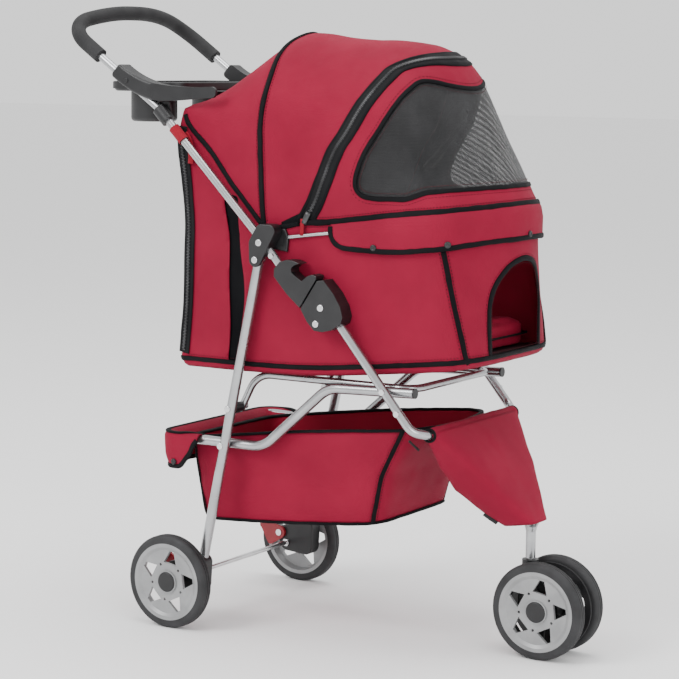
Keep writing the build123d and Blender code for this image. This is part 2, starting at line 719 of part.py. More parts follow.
def storage_basket():
    """Open cloth tub that hangs between the sides of the basket tube."""
    def tub(inset, top_up):
        with BuildPart() as form:
            with BuildSketch(Plane.XZ):
                with BuildLine():
                    Polyline((-224 + inset, 300 + top_up), (-224 + inset, 292), (-211 + inset, 221),
                             (-200 + inset, 168 + inset), (0, 184 + inset), (137 - inset, 198 + inset),
                             (157 - inset, 274), (196 - inset, 345), (196 - inset, 350 + top_up),
                             (9, 333 + top_up), (-185, 306 + top_up), close=True)
                make_face()
            extrude(amount=200, both=True)
            with BuildSketch(Plane.YZ):
                with BuildLine():
                    Polyline((-131 + inset, 380), (-131 + inset, 300), (-120 + inset, 160), (120 - inset, 160),
                             (131 - inset, 300), (131 - inset, 380), close=True)
                make_face()
            extrude(amount=400, both=True, mode=Mode.INTERSECT)
        return form.part
    with BuildPart() as basket:
        add(tub(0, 0))
        add(tub(CLOTH, 40), mode=Mode.SUBTRACT)
    return basket.part


def basket_frame():
    save(basket_tube(), "basket_tube")
    save(group([tube_plug(s) for s in SIDES.values()]), "tube_plugs")
    save(storage_basket(), "storage_basket")


# ---------------------------------------------------------------- seat support and cabin

def seat_support_tube():
    """U-shaped tube under the cabin floor, which swings on the rear legs above the basket."""
    x, z = SUPPORT_PIVOT
    right = [(x - 4, -SUPPORT_Y, z - 7), (-84, -SUPPORT_Y, 417), (205, -SUPPORT_Y, 417)]
    points = right + [(px, -py, pz) for px, py, pz in reversed(right)]
    with BuildPart() as tube:
        add(bent_tube(points, [45, 30, 30, 45], SUPPORT_R, SUPPORT_R - WALL))
        add(cross_pin(x, z, -140, 140, PIN_R + RUNNING), mode=Mode.SUBTRACT)
    return tube.part


def plan_outline(front_corner, front_middle, half):
    """Cabin outline seen from above, whose front edge is bowed unless its corner and middle agree."""
    with BuildLine() as outline:
        Polyline((front_corner, -half), (-300, -half), (-300, half), (front_corner, half))
        if front_middle > front_corner:
            ThreePointArc((front_corner, half), (front_middle, 0), (front_corner, -half))
        else:
            Line((front_corner, half), (front_corner, -half))
    return outline.line


def cabin_form(inset):
    """Closed form of the whole cabin, pulled in by the given amount on every side."""
    half = CABIN_HALF - inset
    corner = 262.0 - inset
    middle = 328.0 - inset
    with BuildPart() as form:
        with BuildSketch(Plane.XY.offset(415)):
            add(plan_outline(313.0 - inset, 313.0 - inset, half))
            make_face()
        with BuildSketch(Plane.XY.offset(RIM_LOW_Z)):
            add(plan_outline(corner, middle, half))
            make_face()
        loft()
        with BuildSketch(Plane.XY.offset(RIM_LOW_Z)):
            add(plan_outline(corner, middle, half))
            make_face()
        extrude(amount=RIM_TOP_Z - RIM_LOW_Z)
        with BuildSketch(Plane.XY.offset(RIM_TOP_Z)):
            add(plan_outline(corner, middle, half))
            make_face()
        extrude(amount=300, dir=(HOOD_SLANT, 0, 1))
        with BuildSketch(Plane.XZ):
            with BuildLine():
                Polyline((-214 + inset, 428 + inset), (14, 431 + inset), (194, 449 + inset), (345, 467 + inset),
                         (345, 960), (177, 933 - inset), (153, 941 - inset), (99, 951 - inset), (6, 957 - inset),
                         (-60, 958 - inset), (-120, 926 - inset), (-190, 866 - inset), (-216 + inset, 843 - inset),
                         (-208 + inset, 831), (-204 + inset, 640), close=True)
            make_face()
        extrude(amount=300, both=True, mode=Mode.INTERSECT)
        with BuildSketch(Plane.YZ):
            with BuildLine():
                Polyline((half, 775), (half, 400), (-half, 400), (-half, 775))
                Spline((-half, 775), (-135 + inset, 840), (-118 + inset, 884), (-88, 919 - inset),
                       (-48, 947 - inset), (0, 959 - inset), (48, 947 - inset), (88, 919 - inset),
                       (118 - inset, 884), (135 - inset, 840), (half, 775), tangents=((0, 1), (0, -1)))
            make_face()
        extrude(amount=500, both=True, mode=Mode.INTERSECT)
    return form.part


CARRIER_REGION = [(-300, 400), (400, 400), (400, 704), *reversed(RIM_LINE), (-52, 650), (-207, 836), (-300, 930)]
CANOPY_REGION = [(-52, 650), (-207, 836), (-300, 930), (-300, 1000), (215, 1000), *reversed(ZIP_ARCH), (17, 665)]
WINDOW_REGION = [*ZIP_ARCH, (215, 1000), (400, 1000), (400, 704), *reversed(RIM_LINE)]
DOOR_HALF = 112.0
DOOR_Z = (447.0, 808.0)


def cabin_piece(region, shell):
    """The part of the cabin's cloth shell that lies inside a region of the side view."""
    with BuildPart() as piece:
        add(shell)
        with BuildSketch(Plane.XZ):
            with BuildLine():
                Polyline(*region, close=True)
            make_face()
            offset(amount=-0.4, kind=Kind.INTERSECTION, mode=Mode.REPLACE)
        extrude(amount=300, both=True, mode=Mode.INTERSECT)
    return piece.part


def cabin_shell():
    with BuildPart() as shell:
        add(cabin_form(0))
        add(cabin_form(CLOTH), mode=Mode.SUBTRACT)
    return shell.part


def door_block(gap):
    """Block that holds the rear door's panel of the shell, smaller by the given gap all round."""
    middle = (DOOR_Z[0] + DOOR_Z[1]) / 2
    with BuildPart() as block:
        with BuildSketch(Plane.XY.offset(DOOR_Z[0] + gap)):
            with Locations((-215, 0)):
                Rectangle(60, 2 * (DOOR_HALF - gap))
        extrude(amount=DOOR_Z[1] - DOOR_Z[0] - 2 * gap)
    return block.part


def carrier_body(shell):
    """Lower cabin: floor cloth, side walls, rim and front wall with its arched doorway."""
    with BuildPart() as body:
        add(cabin_piece(CARRIER_REGION, shell))
        add(door_block(0), mode=Mode.SUBTRACT)
        with BuildSketch(Plane.YZ.offset(230)):
            with BuildLine():
                Polyline((80, 545), (80, 470), (-80, 470), (-80, 545))
                ThreePointArc((-80, 545), (0, 617), (80, 545))
            make_face()
        extrude(amount=120, mode=Mode.SUBTRACT)
    return body.part


def rear_door(shell):
    with BuildPart() as door:
        add(shell)
        add(door_block(0.6), mode=Mode.INTERSECT)
    return door.part


def floor_slab(low, high, x_span, half, corner):
    """Flat slab that follows the cabin's sloping floor between two heights above it."""
    def floor_z(x):
        return 431.0 + 18.0 * max(0.0, x - 14.0) / 180.0
    with BuildPart() as slab:
        with BuildSketch(Plane.XZ):
            with BuildLine():
                xs = [x_span[0], 14.0, x_span[1]]
                lower = [(x, floor_z(x) + low) for x in xs]
                upper = [(x, floor_z(x) + high) for x in reversed(xs)]
                Polyline(*lower, *upper, close=True)
            make_face()
        extrude(amount=half, both=True)
        fillet(slab.edges().filter_by(Axis.Y).group_by(Axis.X)[0], corner)
    return slab.part


def rim_rod(side):
    """Steel rod that stiffens the cabin's rim and shows below the zip, on each side."""
    return straight_tube((-9.2, side * 148.7, 641.1), (78, side * 148.7, 652.5), 2.5)


def rod_socket(side):
    """Black pivot block of the rim rod, against the cabin's side beside the fold bracket."""
    with BuildPart() as block:
        with BuildSketch(slab_plane(side, 145.3, 151.4)):
            with BuildLine():
                Polyline((-46, 622), (-12, 618), (-10, 640), (-16, 654), (-46, 650), close=True)
            make_face()
        extrude(amount=3.05, both=True)
    return block.part


def cabin():
    shell = cabin_shell()
    save(seat_support_tube(), "seat_support_tube")
    save(carrier_body(shell), "carrier_body")
    save(cabin_piece(CANOPY_REGION, shell), "canopy_hood")
    save(cabin_piece(WINDOW_REGION, shell), "window_flap")
    save(rear_door(shell), "rear_door")
    save(floor_slab(6.0, 11.0, (-160.0, 284.0), 136.0, 2.0), "floor_board")
    save(floor_slab(11.5, 43.0, (-158.0, 281.0), 134.0, 10.0), "seat_pad")
    save(group([rim_rod(s) for s in SIDES.values()]), "rim_rods")
    save(group([rod_socket(s) for s in SIDES.values()]), "rod_sockets")


wheel_set("rear", REAR_AXLE_X, REAR_WHEEL_Y)
wheel_set("front", FRONT_AXLE_X, FRONT_WHEEL_Y)
rear_frame()
handle_frame()
front_frame()
caster()
basket_frame()
cabin()
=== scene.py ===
import json
import math
import bmesh
import bpy
import numpy as np
from mathutils import Matrix, Vector, noise

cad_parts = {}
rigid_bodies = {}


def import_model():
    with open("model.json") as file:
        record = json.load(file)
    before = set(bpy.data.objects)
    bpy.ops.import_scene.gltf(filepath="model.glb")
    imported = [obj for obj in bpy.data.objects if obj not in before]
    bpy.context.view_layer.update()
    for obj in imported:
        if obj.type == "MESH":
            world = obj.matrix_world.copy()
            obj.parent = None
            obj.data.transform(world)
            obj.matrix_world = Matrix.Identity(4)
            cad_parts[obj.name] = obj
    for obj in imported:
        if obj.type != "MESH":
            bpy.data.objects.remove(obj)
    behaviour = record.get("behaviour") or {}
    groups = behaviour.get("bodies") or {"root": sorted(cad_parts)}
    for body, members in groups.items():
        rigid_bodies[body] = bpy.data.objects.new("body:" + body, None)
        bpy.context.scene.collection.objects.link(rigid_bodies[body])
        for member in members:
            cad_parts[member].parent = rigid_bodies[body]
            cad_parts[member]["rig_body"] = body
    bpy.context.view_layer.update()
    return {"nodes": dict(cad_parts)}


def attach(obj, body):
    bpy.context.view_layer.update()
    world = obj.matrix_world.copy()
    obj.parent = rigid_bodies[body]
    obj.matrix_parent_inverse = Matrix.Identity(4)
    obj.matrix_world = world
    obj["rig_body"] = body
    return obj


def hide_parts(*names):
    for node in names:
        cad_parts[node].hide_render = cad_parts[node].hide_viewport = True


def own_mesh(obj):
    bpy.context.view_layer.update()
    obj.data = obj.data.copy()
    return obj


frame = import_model()
NODES = frame["nodes"]
MM = 0.001

# ---------------- material helpers


def new_material(name):
    material = bpy.data.materials.new(name)
    material.use_nodes = True
    tree = material.node_tree
    return material, tree, tree.nodes["Principled BSDF"]


def set_shader(shader, **values):
    for key, value in values.items():
        shader.inputs[key.replace("_", " ")].default_value = value


def node(tree, kind, **values):
    made = tree.nodes.new(kind)
    for key, value in values.items():
        if hasattr(made, key):
            setattr(made, key, value)
        else:
            made.inputs[key.replace("_", " ")].default_value = value
    return made


def noise_value(tree, scale, detail=3.0):
    place = node(tree, "ShaderNodeTexCoord")
    texture = node(tree, "ShaderNodeTexNoise", Scale=scale, Detail=detail)
    tree.links.new(place.outputs["Object"], texture.inputs["Vector"])
    return texture.outputs["Fac"]


def arithmetic(tree, operation, first, second=None):
    """Math node on a socket, and on a second socket or a number where one is given."""
    made = node(tree, "ShaderNodeMath", operation=operation)
    tree.links.new(first, made.inputs[0])
    if isinstance(second, (int, float)):
        made.inputs[1].default_value = second
    elif second is not None:
        tree.links.new(second, made.inputs[1])
    return made.outputs[0]


def waves_along(tree, place, axes, pitch, operation):
    """A sine or cosine of the given pitch along each axis of a place."""
    split = node(tree, "ShaderNodeSeparateXYZ")
    tree.links.new(place, split.inputs[0])
    turns = [arithmetic(tree, "MULTIPLY", split.outputs[axis], 2 * math.pi / pitch) for axis in axes]
    return [arithmetic(tree, operation, turn) for turn in turns]


def weave_value(tree, pitch):
    """Over-and-under thread pattern: crossed sine bands along all three axes of the cloth's place."""
    place = node(tree, "ShaderNodeTexCoord").outputs["Object"]
    x, y, z = waves_along(tree, place, "XYZ", pitch, "SINE")
    return arithmetic(tree, "ADD", arithmetic(tree, "ADD", x, y), z)


def colour_between(tree, value, low, high):
    ramp = node(tree, "ShaderNodeValToRGB")
    for element, place, colour in zip(ramp.color_ramp.elements, (0.35, 0.65), (low, high)):
        element.position = place
        element.color = (*colour, 1)
    tree.links.new(value, ramp.inputs[0])
    return ramp.outputs[0]


def range_of(tree, value, low, high):
    span = node(tree, "ShaderNodeMapRange", To_Min=low, To_Max=high)
    tree.links.new(value, span.inputs["Value"])
    return span.outputs[0]


def feed(tree, shader, **values):
    for key, value in values.items():
        tree.links.new(value, shader.inputs[key.replace("_", " ")])


def bump(tree, shader, value, distance, strength=1.0, below=None):
    made = node(tree, "ShaderNodeBump", Strength=strength, Distance=distance)
    tree.links.new(value, made.inputs["Height"])
    if below is not None:
        tree.links.new(below.outputs[0], made.inputs["Normal"])
    tree.links.new(made.outputs[0], shader.inputs["Normal"])
    return made


def cloth_material(name, low, high, pitch=0.0011, rough=(0.66, 0.82), sheen=0.02, fold=0.0012,
                   tint=(1, 0.3, 0.36), shine=0.14):
    material, tree, shader = new_material(name)
    set_shader(shader, Sheen_Weight=sheen, Sheen_Roughness=0.45, Specular_IOR_Level=shine)
    shader.inputs["Sheen Tint"].default_value = (*tint, 1)
    feed(tree, shader, Base_Color=colour_between(tree, noise_value(tree, 9.0), low, high),
         Roughness=range_of(tree, noise_value(tree, 60.0), *rough))
    folds = bump(tree, shader, noise_value(tree, 26.0, 2.0), fold, 0.55)
    bump(tree, shader, weave_value(tree, pitch), 0.00006, 0.8, below=folds)
    return material


def painted_material(name, low, high, metallic, rough, coat=0.0, grain=700.0, grain_depth=0.00002):
    material, tree, shader = new_material(name)
    set_shader(shader, Metallic=metallic, Coat_Weight=coat, Coat_Roughness=0.18)
    feed(tree, shader, Base_Color=colour_between(tree, noise_value(tree, 30.0), low, high),
         Roughness=range_of(tree, noise_value(tree, 45.0), *rough))
    bump(tree, shader, noise_value(tree, grain, 2.0), grain_depth, 0.7)
    return material


def net_material(name, pitch, opening):
    """Knitted net: round holes on a diagonal lattice, laid out in the cloth's own flat coordinates."""
    material, tree, shader = new_material(name)
    set_shader(shader, Sheen_Weight=0.15, Specular_IOR_Level=0.35)
    place = node(tree, "ShaderNodeUVMap", uv_map="flat").outputs[0]
    waves = waves_along(tree, place, "XY", pitch, "COSINE")
    size = arithmetic(tree, "ABSOLUTE", arithmetic(tree, "MULTIPLY", *waves))
    solid = node(tree, "ShaderNodeMapRange", clamp=True, From_Min=opening + 0.06, From_Max=opening - 0.06)
    tree.links.new(size, solid.inputs["Value"])
    colour = colour_between(tree, noise_value(tree, 12.0), (0.012, 0.012, 0.013), (0.03, 0.03, 0.032))
    feed(tree, shader, Alpha=solid.outputs[0], Base_Color=colour,
         Roughness=range_of(tree, noise_value(tree, 80.0), 0.5, 0.7))
    bump(tree, shader, size, 0.0004, 0.5)
    return material


RED_LOW = (0.205, 0.0045, 0.0235)
RED_HIGH = (0.245, 0.0060, 0.0290)
WHITE = (1, 1, 1)
M = {
    "red": cloth_material("red_oxford_cloth", RED_LOW, RED_HIGH),
    # inner side of the red cloth: painted lighter than the outer red, as painted light for the insides that
    # lie in shade
    "red_inside": cloth_material("red_cloth_inside_painted_light", (0.25, 0.006, 0.024), (0.31, 0.009, 0.032), sheen=0.01),
    # black inner side: a dark lining, made darker as painted shade for the hood's shaded inside; also used
    # for the side strips and the zip gussets
    "black_inside": cloth_material("black_lining_and_painted_shade", (0.003, 0.003, 0.004), (0.007, 0.007, 0.008), sheen=0.0,
                                   tint=WHITE, shine=0.06),
    "binding": cloth_material("black_binding_tape", (0.002, 0.002, 0.003), (0.006, 0.006, 0.007),
                              0.0008, (0.55, 0.75), 0.0, 0.0003, WHITE, 0.10),
    "zip_tape": cloth_material("zip_tape_cloth", (0.004, 0.004, 0.005), (0.010, 0.010, 0.011),
                               0.0009, (0.55, 0.8), 0.0, 0.0002, WHITE, 0.12),
    "pad": cloth_material("red_pad_cloth", (0.19, 0.004, 0.020), (0.25, 0.006, 0.028), 0.0013, fold=0.003),
    "webbing": cloth_material("red_webbing", (0.20, 0.003, 0.012), (0.27, 0.005, 0.018),
                              0.0016, (0.5, 0.7), 0.2, 0.0002),
    "black_webbing": cloth_material("black_webbing", (0.010, 0.010, 0.011), (0.03, 0.03, 0.03),
                                    0.0014, (0.5, 0.7), 0.1, 0.0002, WHITE),
    "net": net_material("black_net", 0.0018, 0.36),
    "silver": painted_material("silver_powder_coat", (0.38, 0.385, 0.395), (0.44, 0.445, 0.455),
                               0.92, (0.22, 0.30), 0.2),
    "steel": painted_material("zinc_steel", (0.62, 0.62, 0.63), (0.75, 0.75, 0.76), 1.0, (0.16, 0.3)),
    "black_plastic": painted_material("black_moulded_plastic", (0.004, 0.004, 0.005), (0.010, 0.010, 0.011),
                                      0.0, (0.34, 0.50), 0.0, 1500.0, 0.00006),
    "rim": painted_material("grey_rim_plastic", (0.24, 0.243, 0.247), (0.30, 0.303, 0.307),
                            0.25, (0.3, 0.42), 0.1, 1200.0, 0.00003),
    "tyre": painted_material("dark_tyre", (0.012, 0.012, 0.013), (0.024, 0.024, 0.026),
                             0.0, (0.62, 0.82), 0.0, 900.0, 0.00015),
    "foam": painted_material("black_grip_foam", (0.008, 0.008, 0.009), (0.017, 0.017, 0.018),
                             0.0, (0.72, 0.92), 0.0, 1400.0, 0.0002),
    "red_plastic": painted_material("red_moulded_plastic", (0.20, 0.003, 0.010), (0.27, 0.005, 0.015),
                                    0.0, (0.3, 0.45), 0.1, 1200.0, 0.00004),
    "teeth": painted_material("zip_tooth_metal", (0.05, 0.05, 0.052), (0.11, 0.11, 0.114), 0.7, (0.25, 0.4)),
    "thread": cloth_material("dark_thread", (0.05, 0.01, 0.015), (0.10, 0.014, 0.02), 0.0005),
}

SILVER_NODES = ("rear_leg_right", "rear_leg_left", "handle_tube", "front_leg_tube", "stem_tube",
                "caster_socket", "basket_tube", "seat_support_tube")
STEEL_NODES = ("rear_axle", "front_axle", "caster_pin", "brake_fasteners", "rear_leg_rivets",
               "bracket_screws", "latch_screws", "front_leg_rivets")


def paint_node(name):
    if name in SILVER_NODES:
        return M["silver"]
    if name in STEEL_NODES:
        return M["steel"]
    for word, material in (("tyre", "tyre"), ("front_rim", "rim"), ("rear_rim", "rim"),
                           ("brake_pedal", "red_plastic"), ("foam_grip", "foam")):
        if word in name:
            return M[material]
    return M["black_plastic"]


for name, piece in NODES.items():
    piece.data.materials.clear()
    piece.data.materials.append(paint_node(name))

# ---------------- curves and fields, in millimetres


def dense(points, steps=14):
    """Smooth curve through points, as arrays of its samples."""
    pts = [np.array(p, float) for p in points]
    pts = [2 * pts[0] - pts[1], *pts, 2 * pts[-1] - pts[-2]]
    out = []
    for a, b, c, d in zip(pts, pts[1:], pts[2:], pts[3:]):
        for i in range(steps):
            t = i / steps
            out.append(0.5 * (2 * b + (c - a) * t + (2 * a - 5 * b + 4 * c - d) * t ** 2
                              + (3 * b - a - 3 * c + d) * t ** 3))
    out.append(pts[-2])
    return np.array(out)


def curve_of(points, key=0):
    """Function that gives a curve's other coordinate from the one at key, which must rise along the curve."""
    samples = dense(points)
    return lambda at: np.interp(at, samples[:, key], samples[:, 1 - key])


def smooth_max(a, b, width):
    overlap = np.maximum(width - np.abs(a - b), 0) / width
    return np.maximum(a, b) + overlap * overlap * width / 4


HALF = 146.5
SHOULDER_Z = 775.0
top_z = curve_of([(-260, 806), (-216, 845), (-190, 866), (-120, 926), (-60, 958), (6, 957), (99, 951),
                  (153, 941), (185, 930), (260, 905), (360, 870)])
rear_x = curve_of([(-225, 400), (-224, 417), (-217, 480), (-213.6, 529), (-211, 600), (-210.4, 658),
                   (-219, 735), (-227, 797), (-220, 830), (-216, 846), (-212, 960)], key=1)
floor_z = curve_of([(-260, 427), (-198, 428), (14, 431), (194, 449), (301, 462), (345, 467)])
rim_z = curve_of([(17, 665), (72, 669), (192, 685), (259, 692), (313, 699), (345, 704)])
zip_x = curve_of([(13, 640), (17, 660), (22, 672), (39, 701), (68.5, 771.5), (93, 808), (118, 855),
                  (141, 893), (155, 925), (160, 960)], key=1)
band_z = curve_of([(60, 631), (100, 629), (150, 628), (192, 629), (260, 637), (300, 645), (345, 652)])
HOOP_X = -66.0
hoop_x = curve_of([(-56, 640), (-58, 664), (-63, 727), (-66, 789), (-68, 841), (-68, 889), (-73, 925),
                   (-72, 946), (-60, 962)], key=1)
RIM_LOW_Z = 640.0
RIM_TOP_Z = 692.0
SLANT = -0.533


ZIP_BULGE = 48.0
ROOF_HALF = 95.0
WINDOW_BORDER = 54.0
ARCH_Z = 535.0
ARCH_R = 82.0
DOOR_HALF = 112.0
DOOR_Z = (448.0, 807.0)


def zip_gap(x, y, z):
    """How far a point lies in front of the zip, which bulges forward over the middle of the roof."""
    return x - zip_x(z) - ZIP_BULGE * np.maximum(0, 1 - (y / ROOF_HALF) ** 2)


back_edge = curve_of([(-260, 842), (-225, 840), (-214, 838), (-205, 812), (-162, 769), (-130, 730.5),
                      (-91, 690), (-66, 663), (-54, 651), (-45, 645)])


def front_x(y, z):
    bowed = 328.0 - 66.0 * (y / HALF) ** 2
    flat = 313.0 - 12.0 * np.clip((np.abs(y) - 100) / 46, 0, 1)
    share = np.clip((RIM_LOW_Z - z) / (RIM_LOW_Z - 430.0), 0, 1)
    return bowed + (flat - bowed) * share + SLANT * np.maximum(z - RIM_TOP_Z, 0)


def cabin_field(x, y, z):
    """Above zero outside the cabin's cloth, near enough to a distance in millimetres."""
    top = top_z(x)
    shoulder = np.minimum(SHOULDER_Z + 0.5 * np.maximum(0, -90 - x), top - 9.0)
    rise = np.maximum(z - shoulder, 0) / (top - shoulder)
    sides = (np.sqrt((y / HALF) ** 2 + rise ** 2) - 1) * HALF
    field = smooth_max(sides, x - front_x(y, z), 22.0)
    field = smooth_max(field, rear_x(z) - x, 12.0)
    return smooth_max(field, floor_z(x) - z, 10.0)


def lower_line(x):
    """Height of the line that parts the carrier below from the hood and the window above."""
    notch = 650.0 + 15.0 * (x + 52.0) / 69.0
    return np.where(x < -52, back_edge(x), np.where(x < 17, notch, rim_z(x)))


CENTRE = np.array([50.0, 0.0, 690.0])
REACH = np.array([258.0, HALF, 264.0])
GRID = 74


def skin_points(directions):
    """Where rays from the cabin's middle leave its cloth."""
    low = np.zeros(len(directions))
    high = np.full(len(directions), 1.7)
    for _ in range(30):
        middle = (low + high) / 2
        at = CENTRE + directions * middle[:, None]
        outside = cabin_field(at[:, 0], at[:, 1], at[:, 2]) > 0
        high = np.where(outside, middle, high)
        low = np.where(outside, low, middle)
    return CENTRE + directions * low[:, None]


def sink_between_hoops(points):
    """Depth by which the stretched cloth falls in between its hoops and seams."""
    x, y, z = points.T
    above = np.clip((z - 690) / 60, 0, 1)
    hood_share = np.clip((x - HOOP_X) / (zip_x(z) - HOOP_X), 0, 1)
    hood = np.sin(np.pi * hood_share) * above * (x > HOOP_X) * (x < zip_x(z))
    back = np.clip((HOOP_X - x) / 150, 0, 1)
    rear = np.sin(np.pi * back) * above * (x < HOOP_X)
    return 6.0 * hood + 5.0 * rear


def make_skin():
    bm = bmesh.new()
    bmesh.ops.create_cube(bm, size=2.0)
    bmesh.ops.subdivide_edges(bm, edges=bm.edges[:], cuts=GRID - 1, use_grid_fill=True)
    directions = np.array([v.co for v in bm.verts]) * REACH
    points = skin_points(directions)
    for vert, point in zip(bm.verts, points):
        vert.co = point
    bm.normal_update()
    depth = sink_between_hoops(points)
    for vert, sink in zip(bm.verts, depth):
        broad = noise.noise(Vector(vert.co) / 85.0)
        fine = noise.noise(Vector((vert.co.x / 26.0, vert.co.y / 26.0, vert.co.z / 44.0)))
        vert.co = vert.co + vert.normal * (1.6 * broad + 0.7 * fine - sink)
    bm.normal_update()
    return bm


SKIN = make_skin()


def values_of(bm, field):
    points = np.array([v.co for v in bm.verts])
    values = field(points[:, 0], points[:, 1], points[:, 2])
    return np.where(np.abs(values) < 1e-4, 1e-4, values)


def cut(bm, field):
    """Splits a mesh along field = 0 and drops what lies where the field is below zero."""
    values = values_of(bm, field)
    bm.verts.index_update()
    crossing = [e for e in bm.edges if values[e.verts[0].index] * values[e.verts[1].index] < 0]
    fresh = []
    for edge in crossing:
        a, b = edge.verts
        share = values[a.index] / (values[a.index] - values[b.index])
        _, vert = bmesh.utils.edge_split(edge, a, min(max(share, 0.03), 0.97))
        fresh.append(vert)
    bmesh.ops.connect_verts(bm, verts=fresh)
    bm.verts.index_update()
    new = set(fresh)
    after = values_of(bm, field)
    doomed = [f for f in bm.faces if sum(after[v.index] for v in f.verts if v not in new) < 0]
    bmesh.ops.delete(bm, geom=doomed, context="FACES")
    bmesh.ops.dissolve_degenerate(bm, dist=0.02, edges=bm.edges[:])
    return bm


def trace(field, keep=None):
    """Chains of (points, normals) where a field is zero on the cabin's cloth."""
    bm = SKIN
    values = values_of(bm, field)
    bm.verts.index_update()
    bm.edges.index_update()
    place = {}
    for e in bm.edges:
        a, b = e.verts
        va, vb = values[a.index], values[b.index]
        if va * vb < 0:
            t = va / (va - vb)
            point = a.co.lerp(b.co, t)
            if keep is None or keep(*point):
                place[e.index] = (point, a.normal.lerp(b.normal, t).normalized())
    links = {i: [] for i in place}
    for f in bm.faces:
        found = [e.index for e in f.edges if e.index in place]
        if len(found) == 2:
            links[found[0]].append(found[1])
            links[found[1]].append(found[0])
    chains = []
    unused = set(links)
    for start in sorted(unused, key=lambda i: (len(links[i]), i)):
        if start not in unused:
            continue
        chain = [start]
        unused.discard(start)
        while True:
            ahead = [i for i in links[chain[-1]] if i in unused]
            if not ahead:
                break
            chain.append(ahead[0])
            unused.discard(ahead[0])
        closed = len(chain) > 8 and chain[0] in links[chain[-1]]
        if len(chain) > 4:
            chains.append(([place[i][0] for i in chain], [place[i][1] for i in chain], closed))
    return sorted(chains, key=lambda c: -len(c[0]))


def resample(points, normals, closed=False, step=4.0, rounds=3):
    pts = np.array([tuple(p) for p in points])
    nrm = np.array([tuple(n) for n in normals])
    if closed:
        pts = np.vstack([pts, pts[:1]])
        nrm = np.vstack([nrm, nrm[:1]])
    run = np.concatenate([[0], np.cumsum(np.linalg.norm(np.diff(pts, axis=0), axis=1))])
    count = max(int(run[-1] / step), 3)
    at = np.linspace(0, run[-1], count + 1)
    pts = np.stack([np.interp(at, run, pts[:, k]) for k in range(3)], 1)
    nrm = np.stack([np.interp(at, run, nrm[:, k]) for k in range(3)], 1)
    if closed:
        pts, nrm = pts[:-1], nrm[:-1]
    for _ in range(rounds):
        before = np.roll(pts, 1, 0)
        after = np.roll(pts, -1, 0)
        smooth = (before + 2 * pts + after) / 4
        if not closed:
            smooth[0], smooth[-1] = pts[0], pts[-1]
        pts = smooth
    nrm = nrm / np.linalg.norm(nrm, axis=1)[:, None]
    return pts, nrm


# ---------------- object helpers

PIECES = []


def placed(name, data):
    made = bpy.data.objects.new(name, data)
    bpy.context.scene.collection.objects.link(made)
    return made


def finish_mesh(bm, name, materials, body, smooth=True, flat_uv=None, stands_for=None):
    """Piece in metres from a mesh in millimetres, which rides on a body and may stand for a CAD node."""
    for vert in bm.verts:
        vert.co = vert.co * MM
    mesh = bpy.data.meshes.new(name)
    bm.to_mesh(mesh)
    bm.free()
    for material in materials.split():
        mesh.materials.append(M[material])
    mesh.polygons.foreach_set("use_smooth", [smooth] * len(mesh.polygons))
    if flat_uv is not None:
        layer = mesh.uv_layers.new(name="flat")
        for loop in mesh.loops:
            layer.data[loop.index].uv = flat_uv(mesh.vertices[loop.vertex_index].co)
    made = placed(name, mesh)
    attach(made, body)
    if stands_for:
        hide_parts(stands_for)
    PIECES.append(made)
    return made


def apply(piece, kind, **values):
    """Applies one modifier to a piece's mesh."""
    modifier = piece.modifiers.new(kind.lower(), kind)
    for key, value in values.items():
        setattr(modifier, key, value)
    bpy.context.view_layer.update()
    graph = bpy.context.evaluated_depsgraph_get()
    mesh = bpy.data.meshes.new_from_object(piece.evaluated_get(graph), depsgraph=graph)
    piece.modifiers.clear()
    piece.data = mesh


def thicken(piece, thickness, inner_material=False):
    apply(piece, "SOLIDIFY", thickness=thickness * MM, offset=-1.0, use_even_offset=False,
          material_offset=1 if inner_material else 0)


def bridge(bm, rows, closed=True, flipped=False):
    """Joins neighbouring rows of vertices with quads, all the way round where the rows are closed."""
    for one, two in zip(rows, rows[1:]):
        size = len(one)
        for k in range(size if closed else size - 1):
            corners = (one[k], one[(k + 1) % size], two[(k + 1) % size], two[k])
            bm.faces.new(corners[::-1] if flipped else corners)


def cap(bm, rows):
    """Closes both ends of a run of bridged rows."""
    bm.faces.new(list(reversed(rows[0])))
    bm.faces.new(rows[-1])


def red_cloth(bm, name, body, thickness, stands_for=None, painted_light_inside=True):
    """Red cloth from an open mesh, whose inner side is painted lighter than the outer red, as painted light
    for insides that lie in shade.
    """
    bmesh.ops.recalc_face_normals(bm, faces=bm.faces[:])
    made = finish_mesh(bm, name, "red red_inside", body, stands_for=stands_for)
    thicken(made, thickness, painted_light_inside)


def laid(points, way):
    """Open chain of points that all face one way."""
    return points, [Vector(way)] * len(points), False


def turns(count):
    return [2 * math.pi * k / count for k in range(count)]


def squircle(turn, corner):
    """Cosine, sine and the stretch that turns a circle into a rectangle with rounded corners."""
    c, s = math.cos(turn), math.sin(turn)
    return c, s, (abs(c) ** corner + abs(s) ** corner) ** (-1 / corner)


def sweep(bm, points, normals, profile, closed=False, wobble=0.0):
    """Sweeps a closed profile of (across, up) points along a line that lies on a surface."""
    pts = np.asarray(points)
    nrm = np.asarray(normals)
    ahead = np.roll(pts, -1, 0) - np.roll(pts, 1, 0)
    if not closed:
        ahead[0] = pts[1] - pts[0]
        ahead[-1] = pts[-1] - pts[-2]
    ahead = ahead / np.maximum(np.linalg.norm(ahead, axis=1)[:, None], 1e-9)
    across = np.cross(nrm, ahead)
    across = across / np.maximum(np.linalg.norm(across, axis=1)[:, None], 1e-9)
    up = np.cross(ahead, across)
    rings = []
    for i, point in enumerate(pts):
        sway = wobble * noise.noise(Vector(point) / 22.0)
        swell = 1 + 0.12 * noise.noise(Vector(point) / 9.0) * (wobble > 0)
        ring = [bm.verts.new(point + across[i] * (a * swell + sway) + up[i] * h) for a, h in profile]
        rings.append(ring)
    bridge(bm, rings + rings[:1] if closed else rings)
    if not closed:
        cap(bm, rings)


